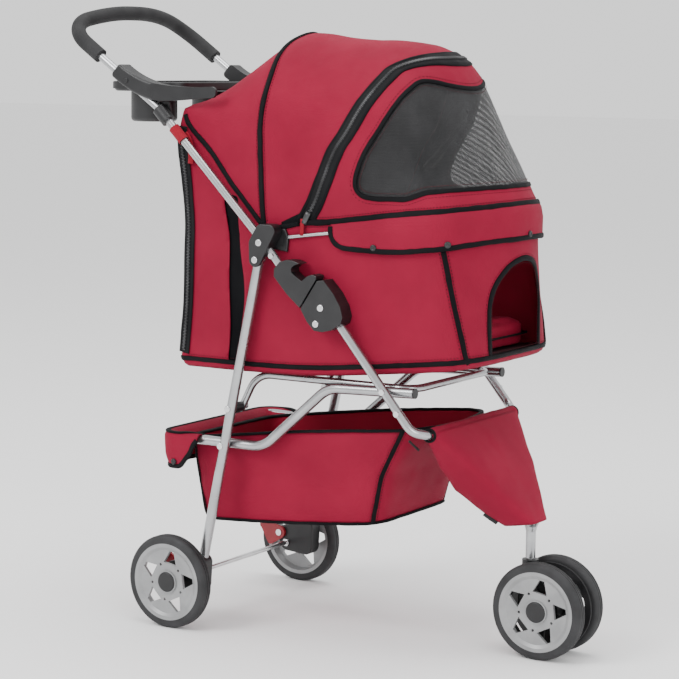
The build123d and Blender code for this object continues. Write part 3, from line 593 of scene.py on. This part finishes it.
def oval(width, height, lift=0.0):
    """Cross-section with flattened sides."""
    squared = 0.75
    return [(width / 2 * math.copysign(abs(math.cos(t)) ** squared, math.cos(t)),
             lift + height / 2 * math.copysign(abs(math.sin(t)) ** squared, math.sin(t))) for t in turns(12)]


def binding(name, chains, body, width=8.0, height=4.0, lift=0.4, wobble=0.5, material="binding",
            slot="cloth_red"):
    """Binding tape sewn along seams."""
    bm = bmesh.new()
    for points, normals, closed in chains:
        pts, nrm = resample(points, normals, closed)
        sweep(bm, pts, nrm, oval(width, height, lift), closed, wobble)
    bmesh.ops.recalc_face_normals(bm, faces=bm.faces[:])
    finish_mesh(bm, name, material, body)


def frames_of(pts, nrm):
    """Place, direction, normal and side of each point of a line that lies on a surface."""
    frames = []
    for place, ahead, up in zip(pts, np.gradient(pts, axis=0), nrm):
        along = Vector(ahead).normalized()
        frames.append((Vector(place), along, Vector(up), Vector(up).cross(along).normalized()))
    return frames


def zip_line(name, points, normals, body, tape=22.0):
    """Zip: two tapes with a raised centre and a row of interlocking teeth."""
    pts, nrm = resample(points, normals, False, 3.0, 6)
    bm = bmesh.new()
    half = tape / 2
    profile = [(-half, -0.4), (half, -0.4), (half, 1.0), (half * 0.8, 1.5), (half * 0.42, 1.2), (0, 1.9),
               (-half * 0.42, 1.2), (-half * 0.8, 1.5), (-half, 1.0)]
    sweep(bm, pts, nrm, profile)
    bmesh.ops.recalc_face_normals(bm, faces=bm.faces[:])
    finish_mesh(bm, name + "_tape", "zip_tape", body)
    teeth = bmesh.new()
    for i, (place, along, up, across) in enumerate(frames_of(*resample(pts, nrm, False, 2.6, 0))[2:-2]):
        side = 1 if i % 2 else -1
        middle = place + up * 2.3 + across * side * 0.9
        frame_of = Matrix((across, along, across.cross(along))).transposed()
        made = bmesh.ops.create_cube(teeth, size=1.0)
        for vert in made["verts"]:
            x, y, z = vert.co
            local = Vector((x * 5.0, y * 1.5, z * (1.5 if x * side < 0 else 0.9)))
            vert.co = middle + frame_of @ local
    finish_mesh(teeth, name + "_teeth", "teeth", body, smooth=False)


def stitches(name, chains, body, offset, length=3.2, thick=0.45):
    """Row of sewn stitches beside a seam."""
    bm = bmesh.new()
    for points, normals, closed in chains:
        for place, along, up, across in frames_of(*resample(points, normals, closed, 5.2, 2))[1:-1]:
            for shift in offset:
                middle = place + across * shift + up * 0.35
                ring = []
                for end, scale in ((-0.5, 0.35), (-0.3, 1.0), (0.3, 1.0), (0.5, 0.35)):
                    sunk = -0.35 if abs(end) > 0.4 else 0.0
                    ring.append([bm.verts.new(middle + along * end * length + up * (sunk + thick * scale * dz)
                                              + across * thick * scale * dx)
                                 for dx, dz in ((1, 0), (0, 1), (-1, 0), (0, -1))])
                bridge(bm, ring)
                cap(bm, ring)
    finish_mesh(bm, name, "thread", body)


def cloth_from_skin(name, body, cuts, materials, thickness=1.6, lift=None, uv=None, stands_for=None):
    """Panel of the cabin's cloth that is left after each cut, moved along its normals by lift."""
    bm = SKIN.copy()
    for field in cuts:
        cut(bm, field)
    bm.normal_update()
    if lift is not None:
        shifts = [(v, v.normal * lift(v.co)) for v in bm.verts]
        for vert, shift in shifts:
            vert.co = vert.co + shift
    made = finish_mesh(bm, name, materials, body, flat_uv=uv, stands_for=stands_for)
    thicken(made, thickness, " " in materials)


def flat_place(co):
    """Flat coordinates of the window's cloth: the way round the cabin, and the way up."""
    x, y, z = co
    corner = 0.262 + SLANT * max(z - 0.692, 0)
    side = max(corner - x, 0) if abs(y) > 0.09 else 0
    return (math.copysign(abs(y) * 1.08 + side, y), z * 1.1)


# ---------------- cabin

def window_field(x, y, z):
    """Above zero inside the net window, which runs from side to side round the front."""
    from_zip = (zip_gap(x, y, z) - WINDOW_BORDER) * 0.85
    from_sill = z - np.interp(x, (150, 200, 232, 267, 310), (707, 708, 720, 723.5, 727))
    return -smooth_max(-from_zip, -from_sill, 40.0)


def doorway_field(x, y, z):
    """Below zero inside the arched doorway of the front wall."""
    arch = np.sqrt(y ** 2 + np.maximum(z - ARCH_Z, 0) ** 2) - ARCH_R
    sill = floor_z(x) + 2.0 - z
    hole = smooth_max(arch, sill, 14.0)
    return np.where(x > 200, hole, 50.0)


def strip_field(x, y, z):
    """Below zero inside the dark pleated strip on each side wall."""
    middle = -112.0 + 3.0 * np.sin(z / 38.0) - 8.0 * np.clip((z - 640) / 60, 0, 1)
    width = 12.5 + 2.6 * np.sin(z / 27.0)
    across = np.abs(x - middle) - width
    return np.where(np.abs(y) > 110, smooth_max(across, smooth_max(434 - z, z - 702, 4), 10), 50.0)


def door_field(x, y, z):
    """Below zero inside the rear door."""
    span = smooth_max(np.abs(y) - DOOR_HALF, np.maximum(DOOR_Z[0] - z, z - DOOR_Z[1]), 16.0)
    return np.where(x < -170, span, 50.0)


def above_line(x, y, z):
    return z - lower_line(x)


def above_floor(x, y, z):
    return z - floor_z(x) - 7


def beyond(field, shift=0.0):
    """The other side of a field, moved by shift."""
    return lambda x, y, z: shift - field(x, y, z)


def cabin():
    # carrier, flap and rear door: red cloth whose inner side is painted lighter, as painted light for the
    # shaded inside
    cloth_from_skin("carrier_cloth", "cabin", [beyond(above_line), doorway_field, door_field, strip_field],
                    "red red_inside", stands_for="carrier_body")
    cloth_from_skin("side_vent_net", "cabin", [beyond(strip_field, 2.5), beyond(above_line)],
                    "black_inside", lift=lambda co: -3.2)
    # hood and window cloth get the black inner side: part dark lining, part painted shade
    cloth_from_skin("hood_cloth", "cabin", [above_line, beyond(zip_gap, -7)],
                    "red black_inside", stands_for="canopy_hood")
    cloth_from_skin("window_cloth", "window",
                    [above_line, lambda x, y, z: zip_gap(x, y, z) - 7, beyond(window_field)],
                    "red black_inside", stands_for="window_flap")
    cloth_from_skin("window_net", "window", [lambda x, y, z: window_field(x, y, z) + 2.0],
                    "net", 0.5, lift=lambda co: -1.0, uv=flat_place)
    cloth_from_skin("rear_door_cloth", "back_panel", [beyond(door_field, -0.6)], "red red_inside",
                    stands_for="rear_door")


def flap_edge(x, y, z):
    """Above zero inside the overlapping flap that hangs from the cabin's rim."""
    hang = z - band_z(x)
    back = x - 68.0
    return -smooth_max(-hang, -back, 30.0)


def flap():
    """Overlapping flap under the rim, with its bound edge and snap buttons."""
    def flare(co):
        return 2.2 + 4.6 * max(0.0, min(1.0, (rim_z(co.x) - co.z) / 22.0))
    cloth_from_skin("rim_flap", "cabin", [flap_edge, lambda x, y, z: rim_z(x) + 1 - z], "red red_inside",
                    1.5, lift=flare)
    chains = trace(flap_edge, lambda x, y, z: z < rim_z(x) - 4)
    shifted = [([p + n * (flare(p) + 0.2) for p, n in zip(points, normals)], normals, closed)
               for points, normals, closed in chains[:1]]
    binding("flap_binding", shifted, "cabin", 8.0, 3.6, 0.0)
    return shifted[0]


def snap_buttons(edge):
    """Round snaps that hold the flap's lower edge."""
    points, normals, _ = edge
    bm = bmesh.new()
    for x, side in ((150, -1), (272, -1), (328, 0), (272, 1), (150, 1)):
        def miss(i):
            at = points[i]
            if side == 0:
                return abs(at.y)
            return abs(at.x - x) + (at.y * side < 0) * 1e4 + abs(at.z - band_z(at.x))
        found = min(range(len(points)), key=miss)
        add_stud(bm, points[found] + Vector((0, 0, 5)), normals[found], 5.2, 2.4)
    finish_mesh(bm, "flap_snaps", "black_plastic", "cabin")


def add_stud(bm, point, normal, radius, height):
    """Low domed button with a recessed middle."""
    up = Vector(normal).normalized()
    across = up.orthogonal().normalized()
    beside = up.cross(across)
    rings = []
    for r, h in ((radius, -0.5), (radius, height * 0.5), (radius * 0.86, height * 0.86),
                 (radius * 0.6, height), (radius * 0.46, height * 0.7), (radius * 0.2, height * 0.62)):
        rings.append([bm.verts.new(Vector(point) + up * h + across * r * math.cos(turn)
                                   + beside * r * math.sin(turn)) for turn in turns(20)])
    bridge(bm, rings)
    cap(bm, rings)


def corner_field(x, y, z):
    return x - (302.0 - 41.0 * np.clip((z - 455) / 182, 0, 1))


# Bound seams: name, field, part of its line that is kept, number of lines, body, and the tape's width, height
# and lift
SEAMS = (
    ("hood_hoop", lambda x, y, z: x - hoop_x(z), lambda x, y, z: z > lower_line(x), 1, "cabin",
     8.5, 6.0, 1.0),
    ("window_zip", lambda x, y, z: zip_gap(x, y, z) - 14, lambda x, y, z: z > lower_line(x) + 1, 1, "window",
     6.0, 3.4, 0.6),
    ("hood_zip", lambda x, y, z: zip_gap(x, y, z) + 14, lambda x, y, z: z > lower_line(x) + 1, 1, "cabin",
     6.0, 3.4, 0.6),
    ("rim", above_line, lambda x, y, z: x > 12, 1, "cabin", 9.5, 5.0, 1.2),
    ("hood_edge", above_line, lambda x, y, z: -212 < x <= 12 and abs(y) > 100, 2, "cabin", 8.0, 4.4, 0.8),
    ("window", window_field, None, 1, "window", 7.5, 3.2, 0.6),
    ("floor", above_floor, None, 1, "cabin", 8.0, 4.6, 0.6),
    ("doorway", doorway_field, lambda x, y, z: z > floor_z(x) + 5, 1, "cabin", 9.0, 4.4, 0.2),
    ("front_corner", corner_field, lambda x, y, z: floor_z(x) + 3 < z < 636 and abs(y) > 100, 2, "cabin",
     8.0, 5.0, 0.8),
    ("rear_door", door_field, None, 1, "back_panel", 7.0, 3.6, 0.6),
)


def cabin_trim():
    """Binding tapes, zips and stitches of the cabin."""
    lines = {}
    for name, field, keep, count, body, width, height, lift in SEAMS:
        lines[name] = trace(field, keep)[:count]
        binding(f"{name}_binding", lines[name], body, width, height, lift)
    ridge = trace(zip_gap, lambda x, y, z: z > lower_line(x) + 4)
    zip_line("hood_zip", ridge[0][0], ridge[0][1], "cabin", 26.0)
    rear = trace(lambda x, y, z: x - (rear_x(z) + 9), lambda x, y, z: 436 < z < 812 and abs(y) > 90)
    for chain, side in zip(rear[:2], "ab"):
        zip_line(f"rear_zip_{side}", chain[0], chain[1], "cabin")
    for name, seam, body, offset in (("rim", "rim", "cabin", (-7.5, 7.5)),
                                     ("hoop", "hood_hoop", "cabin", (-7.0, 7.0)),
                                     ("window", "window", "window", (8.5, -8.5)),
                                     ("corner", "front_corner", "cabin", (-6.5, 6.5)),
                                     ("floor", "floor", "cabin", (7.0,)),
                                     ("doorway", "doorway", "cabin", (-7.0, 7.0))):
        stitches(f"{name}_stitches", lines[seam], body, offset)


def zip_details():
    """Zip sliders with red pulls at the foot of the arched zip, and the black gussets behind them."""
    for side, end in ((-1, "right"), (1, "left")):
        line = [(18.5, 664), (22.5, 672), (27.5, 681)]
        points = [Vector((x, side * 149.4, z)) for x, z in dense(line, 5)]
        binding(f"zip_slider_{end}", [laid(points, (0, side, 0))], "cabin", 9.5, 5.5, 0.8, 0.0, "teeth",
                "plastic_black")
        tag = [Vector((17 - 1.5 * k / 6, side * (151.2 + 0.25 * math.sin(k)), 671 - 26 * k / 6))
               for k in range(7)]
        binding(f"zip_pull_{end}", [laid(tag, (0, side, 0))], "cabin", 7.0, 2.4, 0.0, 0.0, "webbing",
                "webbing_red")
    cloth_from_skin("zip_gusset_cloth", "cabin",
                    [lambda x, y, z: x + 24, lambda x, y, z: 16 - x, lambda x, y, z: z - lower_line(x) - 1,
                     lambda x, y, z: 668 + 0.45 * (x + 15) - z],
                    "black_inside", 0.8, lift=lambda co: 1.4)


def window_tether():
    """Strap with a clip inside the window, which ties the rolled-up cover."""
    inward = (0, -1, 0)
    lines = []
    for y, ends in ((-42, [(169, 753), (204, 789), (239, 826)]), (-37, [(182, 752), (213, 788), (240, 826)])):
        lines.append(laid([Vector((x, y, z)) for x, z in dense(ends, 8)], inward))
    binding("window_tether", lines, "window", 3.0, 1.6, 0.0, 0.4, "black_webbing", "webbing_red")
    clip = [Vector((x, -39.5, z)) for x, z in dense([(236, 822), (239, 832), (240, 842)], 5)]
    binding("tether_clip", [laid(clip, inward)], "window", 10.0, 4.0, 0.0, 0.0, "black_plastic",
            "plastic_black")


def strap_tails():
    """Red webbing tail that hangs from the loop round each handle tube."""
    for side, end in ((-1, "right"), (1, "left")):
        hang = [(-208, 150.3, 797), (-199, 150.0, 785), (-196.4, 149.8, 768), (-198, 149.7, 749)]
        points = [Vector((x, side * y, z)) for x, y, z in dense(hang, 6)]
        binding(f"strap_tail_{end}", [laid(points, (0, side, 0))], "handle_frame", 11.0, 1.8, 0.0, 0.8,
                "webbing", "webbing_red")


LOOP_FOOT = (-202.9, 160.0, 785.6)
LOOP_LENGTH = 28.0
LOOP_TURNS = 1.14
LOOP_R = 7.75
LAP = 1.1


def webbing_loops():
    """Red webbing wrapped round each handle tube, its end lapped on the side where the tail hangs."""
    run = Vector((-213, 0, 214)).normalized()
    up = Vector((214, 0, 213)).normalized()
    steps = 84
    bm = bmesh.new()
    for side in (-1, 1):
        start = Vector((LOOP_FOOT[0], side * LOOP_FOOT[1], LOOP_FOOT[2]))
        inward = Vector((0, -side, 0))
        rows = []
        for k in range(57):
            across = k / 56
            selvage = 0.16 * math.exp(-(min(across, 1 - across) * 14) ** 2)
            rib = 0.05 * math.sin(k * math.pi / 2)
            row = []
            for j in range(steps + 1):
                turn = 2 * math.pi * (LOOP_TURNS * j / steps - LOOP_TURNS + 0.06)
                lap = min(max((j / steps - 0.80) / 0.10, 0.0), 1.0)
                slack = (1 + noise.noise(Vector((across * 2, turn, side)))) / 2
                pull = 0.25 * math.cos(2 * math.pi * across) * slack
                radius = LOOP_R + LAP * lap * lap * (3 - 2 * lap) + selvage + pull * 0.4 + rib
                way = inward * math.cos(turn) + up * math.sin(turn)
                row.append(bm.verts.new(start + run * (LOOP_LENGTH * across) + way * radius))
            rows.append(row)
        bridge(bm, rows, closed=False, flipped=side > 0)
    made = finish_mesh(bm, "webbing_loops", "webbing", "handle_frame",
                       stands_for="strap_loops")
    thicken(made, 1.0)


def floor_skirt():
    """Loose hem of cloth below the floor seam, which sags between the supports."""
    points, normals, _ = trace(above_floor)[0]
    pts, nrm = resample(points, normals, True, 5.0, 4)
    bm = bmesh.new()
    rows = []
    for drop, inward in ((0, -0.5), (5, -0.2), (10, -3.0), (14, -9.0)):
        row = []
        for p, n in zip(pts, nrm):
            flat = Vector((n[0], n[1], 0)).normalized()
            sway = 1.6 * noise.noise(Vector(p) / 34.0)
            row.append(bm.verts.new(Vector(p) + flat * (inward + sway * drop / 14) - Vector((0, 0, drop))))
        rows.append(row)
    bridge(bm, rows)
    red_cloth(bm, "floor_hem", "cabin", 1.4)


cabin()
snap_buttons(flap())
cabin_trim()
zip_details()
window_tether()
strap_tails()
webbing_loops()
floor_skirt()

# ---------------- storage basket

basket_rim_z = curve_of([(-250, 298), (-185, 306), (9, 333), (191, 351), (225, 348)])
basket_floor_z = curve_of([(-210, 165), (-193, 168), (-61, 177.5), (60, 189), (137, 198), (160, 202)])


def basket_point(turn, height):
    """Point of the basket's wall: turn goes round it, height from 0 at the floor to 1 at the rim."""
    c, s, size = squircle(turn, 9.0)
    rear = np.interp(height, (0, 0.06, 0.38, 0.68, 1), (-196, -203.5, -210, -217, -223))
    front = np.interp(height, (0, 0.5, 1), (138, 157, 196))
    half = 119 + 11.5 * height ** 0.8
    x = (front + rear) / 2 + (front - rear) / 2 * c * size
    y = half * s * size
    if c > 0:
        x += 22 * max(0, 2 * height - 1) ** 1.5 * (1 - (y / 131) ** 2) * min(1, 3 * c)
    low, high = basket_floor_z(min(max(x, -200), 137)), basket_rim_z(x)
    return Vector((x, y, low + (high - low) * height))


def basket():
    """Cloth basket: a sagging floor and walls with loose folds."""
    around = turns(220)
    bm = bmesh.new()
    rows = []
    middle = Vector((-27, 0, 183))
    for share in (0.12, 0.3, 0.5, 0.68, 0.82, 0.92):
        row = []
        for turn in around:
            place = middle.lerp(basket_point(turn, 0), share)
            sag = 7.0 * (1 - share ** 2) - 1.5 * noise.noise(place / 40.0)
            row.append(bm.verts.new(Vector((place.x, place.y, basket_floor_z(place.x) - sag + 1.0))))
        rows.append(row)
    for step in range(26):
        height = step / 25
        row = []
        for turn in around:
            place = basket_point(turn, height)
            out = Vector((math.cos(turn), math.sin(turn), 0))
            belly = math.sin(math.pi * height)
            fold = noise.noise(Vector((place.x / 48, place.y / 48, place.z / 30)))
            hang = math.sin(turn * 9 + 3 * math.sin(turn * 2)) * 0.9 * height
            row.append(bm.verts.new(place + out * (belly * (1.2 + 2.6 * fold) + hang)))
        rows.append(row)
    bridge(bm, rows)
    hub = bm.verts.new(middle - Vector((0, 0, 6)))
    for one, two in zip(rows[0], rows[0][1:] + rows[0][:1]):
        bm.faces.new((two, one, hub))
    # the basket's inside gets the lighter inner red, painted light for its shaded inside
    red_cloth(bm, "basket_cloth", "basket_frame", 1.6, "storage_basket")


def basket_way(turn):
    return Vector((math.cos(turn), math.sin(turn), 0.1)).normalized()


def basket_trim():
    """Bound rim, floor edge and corners of the basket, with the corners' stitches."""
    around = turns(240)
    ways = [basket_way(turn) for turn in around]
    lines = [([basket_point(turn, height) + Vector((0, 0, 0.5 * height)) for turn in around], ways, True)
             for height in (1.0, 0.0)]
    binding("basket_bindings", lines, "basket_frame", 5.0, 8.0, 0.0)
    corners = []
    for turn in (0.785, math.pi - 0.785, math.pi + 0.785, -0.785):
        way = basket_way(turn)
        corners.append(laid([basket_point(turn, k / 30) + way * 1.6 for k in range(31)], way))
    binding("basket_corner_bindings", corners, "basket_frame", 7.0, 4.4, 0.4)
    stitches("basket_stitches", corners, "basket_frame", (-6.0, 6.0))


BAR_X = -250.0
BAR_Y = 149.5
BAR_Z = 303.0
BAR_BEND = 26.0


def bar_run(count=150):
    """Places along the rear of the basket tube, side to side, with the way outward at each."""
    straight = 46.0
    arc = BAR_BEND * math.pi / 2
    across = 2 * (BAR_Y - BAR_BEND)
    total = 2 * (straight + arc) + across
    out = []
    for i in range(count + 1):
        run = total * i / count
        mirrored = run > total / 2
        near = total - run if mirrored else run
        if near < straight:
            x, y, turn = BAR_X + BAR_BEND + straight - near, -BAR_Y, 0.0
        elif near < straight + arc:
            turn = (near - straight) / BAR_BEND
            x = BAR_X + BAR_BEND - BAR_BEND * math.sin(turn)
            y = -BAR_Y + BAR_BEND - BAR_BEND * math.cos(turn)
        else:
            x, y, turn = BAR_X, -BAR_Y + BAR_BEND + near - straight - arc, math.pi / 2
        outward = Vector((-math.sin(turn), -math.cos(turn), 0))
        if mirrored:
            y, outward.y = -y, -outward.y
        out.append((Vector((x, y, BAR_Z)), outward))
    return out


def rear_wrap():
    """Flap of the basket's rim that wraps the tube's rear bend and closes with snaps."""
    over = dense([(-21, 302), (-12, 309), (0, 313), (8.5, 308.5), (10.2, 300), (9.8, 288), (8, 274), (5, 262),
                  (3, 255)], 8)
    bm = bmesh.new()
    rows = []
    for place, outward in bar_run():
        low = float(np.interp(place.x, (-216, -205, -192, -180), (255, 266, 281, 303)))
        kept = over[: max(int(np.searchsorted(-over[:, 1][20:], -low)) + 20, 22)]
        keys = np.linspace(0, len(kept) - 1, 30)
        offs = np.interp(keys, range(len(kept)), kept[:, 0])
        ups = np.interp(keys, range(len(kept)), kept[:, 1])
        row = []
        for off, up in zip(offs, ups):
            sway = 1.5 * noise.noise(Vector((place.x, place.y, up)) / 24) * min(1, max(0, (312 - up) / 25))
            row.append(bm.verts.new(Vector((place.x, place.y, up)) + outward * (off + sway)))
        rows.append(row)
    bridge(bm, rows, closed=False)
    outward = [o for _, o in bar_run()]
    edge = [([row[-1].co.copy() for row in rows], outward, False)]
    top = [laid([row[9].co.copy() for row in rows], (0, 0, 1))]
    snaps = [(rows[k][25].co.copy(), outward[k]) for k in (17, 75, 133)]
    red_cloth(bm, "basket_rear_wrap", "basket_frame", 1.4, painted_light_inside=False)
    binding("rear_wrap_bindings", edge, "basket_frame", 8.0)
    binding("rear_rim_binding", top, "basket_frame", 9.0)
    bm = bmesh.new()
    for place, way in snaps:
        add_stud(bm, place + way * 1.6, way, 5.0, 2.2)
    finish_mesh(bm, "rear_wrap_snaps", "black_plastic", "basket_frame")


basket()
basket_trim()
rear_wrap()

# ---------------- apron on the stem

BAR_MIDDLE = (240.0, 351.0)
SLEEVE_R = 10.6


def apron():
    """Cloth sock that hangs from the cross bar and narrows round the stem."""
    bm = bmesh.new()
    rows = []
    for step in range(41):
        t = step / 40
        centre = Vector((243 + 94 * t, 0, 351 - 147 * t))
        half_wide = 28 + 110 * (1 - t) ** 0.92
        ahead = float(np.interp(t, (0, 0.5, 1), (11, 26, 29)))
        behind = float(np.interp(t, (0, 0.3, 0.56, 0.87, 1), (17, 42, 55, 40, 28)))
        row = []
        for turn in turns(120):
            c, s, size = squircle(turn, 4.5)
            depth = c * size * (ahead if c > 0 else behind)
            lean = Vector((0.80 + 0.18 * t, 0, 0.60 - 0.42 * t)) if c > 0 else Vector((1, 0, 0.42 - 0.26 * t))
            place = centre + lean * depth + Vector((0, half_wide * s * size, 0))
            fold = noise.noise(Vector((place.x / 40, place.y / 22, place.z / 60)))
            out = (place - centre).normalized()
            row.append(bm.verts.new(place + out * fold * 2.2 * math.sin(math.pi * t)))
        rows.append(row)
    bridge(bm, rows)
    red_cloth(bm, "apron_cloth", "front_frame", 1.5, "apron")


def around_bar(turn, radius, y):
    return Vector((BAR_MIDDLE[0] + radius * math.cos(turn), y, BAR_MIDDLE[1] + radius * math.sin(turn)))


def bar_cover():
    """Red sleeve that rolls over the cross bar, with a black bound end each side."""
    bm = bmesh.new()
    rows = []
    for i in range(61):
        y = -137 + 274 * i / 60
        row = []
        for turn in turns(28):
            swell = 0.9 * noise.noise(Vector((math.cos(turn) * 0.7, y / 26, math.sin(turn) * 0.7)))
            row.append(bm.verts.new(around_bar(turn, SLEEVE_R + swell, y)))
        rows.append(row)
    bridge(bm, rows)
    red_cloth(bm, "cross_bar_sleeve", "front_frame", 1.3)
    ways = [Vector((math.cos(turn), 0, math.sin(turn))) for turn in turns(40)]
    rings = [([around_bar(turn, SLEEVE_R - 0.4, y) for turn in turns(40)], ways, True)
             for y in (-136.0, 136.0)]
    binding("sleeve_end_bindings", rings, "front_frame", 6.0, 3.4, 0.6)


def black_tabs():
    """Short black tabs sewn on the apron's lower rear edge and inside the basket's front corner."""
    low = [Vector((286 + 18 * k / 8, -42 + 10 * k / 8, 219 - 14 * k / 8)) for k in range(9)]
    high = [Vector((198 + 9 * k / 8, -126 + 15 * k / 8, 337 - 16 * k / 8)) for k in range(9)]
    for name, points, way, body, size in (
            ("apron_tab", low, (-0.5, -0.85, 0), "front_frame", (8.0, 2.6, 0.4)),
            ("basket_tab", high, (1, -0.3, 0), "basket_frame", (4.0, 2.0, 1.0))):
        binding(name, [laid(points, Vector(way).normalized())], body, *size, material="black_webbing")


apron()
bar_cover()
black_tabs()

# ---------------- seat cushion and rim rods


CUSHION_X = 61.5
CUSHION_HALF = (217.0, 131.5)
CHANNELS = (-0.085, -0.012, 0.061, 0.134, 0.207)
MOST_SWELL = 0.008


def seat_cushion():
    """Quilted cushion on the floor board: a filled cover with a piped edge and sewn channels."""
    bm = bmesh.new()
    low, high = [], []
    for turn in turns(160):
        c, s, size = squircle(turn, 9)
        x, y = CUSHION_X + CUSHION_HALF[0] * c * size, CUSHION_HALF[1] * s * size
        low.append(bm.verts.new((x, y, floor_z(x) + 13)))
        high.append(bm.verts.new((x, y, floor_z(x) + 44 + 8 * math.exp(-((x - 262) / 30) ** 2))))
    bridge(bm, [low, high])
    cap(bm, [low, high])
    piece = finish_mesh(bm, "seat_cushion", "pad", "cabin", stands_for="seat_pad")
    apply(piece, "REMESH", mode="VOXEL", voxel_size=0.005)
    rest = np.array([v.co for v in piece.data.vertices])
    floor_at = np.array([floor_z(x * 1000) for x in rest[:, 0]]) * MM
    moved = rest
    cloth = piece.modifiers.new("cloth", "CLOTH")
    cloth.settings.quality = 5
    cloth.settings.use_pressure = True
    cloth.settings.uniform_pressure_force = 4.0
    cloth.settings.effector_weights.gravity = 0.0
    for step in range(1, 21):
        bpy.context.scene.frame_set(step)
    graph = bpy.context.evaluated_depsgraph_get()
    filled = piece.evaluated_get(graph).data
    moved = np.array([v.co for v in filled.vertices])
    piece.modifiers.clear()
    bpy.context.scene.frame_set(1)
    shift = moved - rest
    reach = np.linalg.norm(shift, axis=1)
    shift = shift * (np.minimum(reach, MOST_SWELL) / np.maximum(reach, 1e-9))[:, None]
    placed = rest + shift
    placed[:, 2] = np.maximum(placed[:, 2], floor_at + 0.0118)
    share = np.clip((placed[:, 2] - floor_at - 0.028) / 0.012, 0, 1)
    for middle in CHANNELS:
        placed[:, 2] -= 0.0055 * share * np.exp(-((placed[:, 0] - middle) / 0.006) ** 2)
    for vert, place in zip(piece.data.vertices, placed):
        vert.co = place
    apply(piece, "SUBSURF", levels=1)
    piece.data.polygons.foreach_set("use_smooth", [True] * len(piece.data.polygons))
    around = []
    for turn in turns(200):
        c, s, size = squircle(turn, 9)
        x = CUSHION_X + (CUSHION_HALF[0] + 2) * c * size
        around.append(Vector((x, (CUSHION_HALF[1] + 1.5) * s * size, floor_z(x) + 29)))
    ways = [Vector((p.x - CUSHION_X, p.y * 1.6, 0)).normalized() for p in around]
    binding("cushion_piping", [(around, ways, True)], "cabin", 3.4, 3.4, 0.6, 0.2)


def rim_rods():
    """Bent steel rods at the rim, and the moulded blocks that hold them behind the brackets."""
    rods = bmesh.new()
    blocks = bmesh.new()
    outline = [(-46, 622), (-12, 618), (-9.6, 640), (-16, 654), (-46, 650)]
    for side in (-1, 1):
        line = dense([(-12, 640.8), (20, 645), (55, 649.6), (74, 651.5), (82, 648)], 8)
        points = [Vector((x, side * 148.7, z)) for x, z in line]
        sweep(rods, points, laid(points, (0, side, 0))[1], oval(5.8, 5.8))
        layers = []
        for y, scale in ((145.4, 0.94), (146.4, 1.0), (150.2, 1.0), (151.0, 0.9), (150.4, 0.55),
                         (150.2, 0.5)):
            layers.append([blocks.verts.new((-28 + (x + 28) * scale, side * y, 637 + (z - 637) * scale))
                           for x, z in outline])
        bridge(blocks, layers)
        cap(blocks, layers)
    for bm in (rods, blocks):
        bmesh.ops.recalc_face_normals(bm, faces=bm.faces[:])
    finish_mesh(rods, "rim_rod_pair", "silver", "cabin", stands_for="rim_rods")
    block = finish_mesh(blocks, "rim_rod_blocks", "black_plastic", "cabin", smooth=False,
                        stands_for="rod_sockets")
    apply(block, "BEVEL", width=0.0012, segments=2)


seat_cushion()
rim_rods()

# ---------------- studio

AZIMUTH = 0.5577
ELEVATION = 0.1288
ROLL = 0.010
TARGET = Vector((-0.0075, 0, 0.465))
DISTANCE = 3.5141
LENS = 114.66
WORLD_STRENGTH = 1.25
LAMPS = (("key", (-1.6, -3.2, 3.4), 2.2, 120), ("fill", (3.6, -2.4, 1.8), 2.4, 60),
         ("top", (0.2, 0.3, 3.8), 2.6, 70))


def studio():
    """Pale floor and world, with soft lamps of (name, place, size, power)."""
    floor = bpy.data.meshes.new("floor")
    floor.from_pydata([(-30, -30, 0), (30, -30, 0), (30, 30, 0), (-30, 30, 0)], [], [(0, 1, 2, 3)])
    paper, _, shader = new_material("studio_paper")
    shader.inputs["Base Color"].default_value = (0.93, 0.93, 0.93, 1)
    set_shader(shader, Roughness=0.9, Specular_IOR_Level=0.1)
    floor.materials.append(paper)
    placed("studio_floor", floor)
    world = bpy.data.worlds.new("studio")
    world.use_nodes = True
    background = world.node_tree.nodes["Background"]
    background.inputs["Color"].default_value = (1, 1, 1, 1)
    background.inputs["Strength"].default_value = WORLD_STRENGTH
    bpy.context.scene.world = world
    for name, place, size, power in LAMPS:
        light = bpy.data.lights.new(name, "AREA")
        light.shape = "DISK"
        light.size = size
        light.energy = power
        lamp = placed(name, light)
        lamp.location = place
        lamp.rotation_euler = (Vector((0, 0, 0.45)) - lamp.location).to_track_quat("-Z", "Y").to_euler()


def take_view():
    back = Vector((math.sin(AZIMUTH) * math.cos(ELEVATION), -math.cos(AZIMUTH) * math.cos(ELEVATION),
                   math.sin(ELEVATION)))
    level = Vector((math.cos(AZIMUTH), math.sin(AZIMUTH), 0))
    rise = back.cross(level)
    right = level * math.cos(ROLL) + rise * math.sin(ROLL)
    up = rise * math.cos(ROLL) - level * math.sin(ROLL)
    data = bpy.data.cameras.new("camera")
    data.lens = LENS
    data.sensor_width = 36
    camera = placed("camera", data)
    turned = Matrix((right, up, back)).transposed().to_4x4()
    camera.matrix_world = Matrix.Translation(TARGET + back * DISTANCE) @ turned
    bpy.context.scene.camera = camera


studio()
take_view()

# ---------------- own meshes for the pieces on the bodies in FOLDS


# Height that stays in place and share of the height that is kept when the frame is folded
FOLDS = {"cabin": (0.435, 0.22), "window": (0.435, 0.22), "back_panel": (0.435, 0.22),
         "basket_frame": (0.33, 0.2)}
for piece in PIECES:
    if piece["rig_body"] in FOLDS:
        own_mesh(piece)
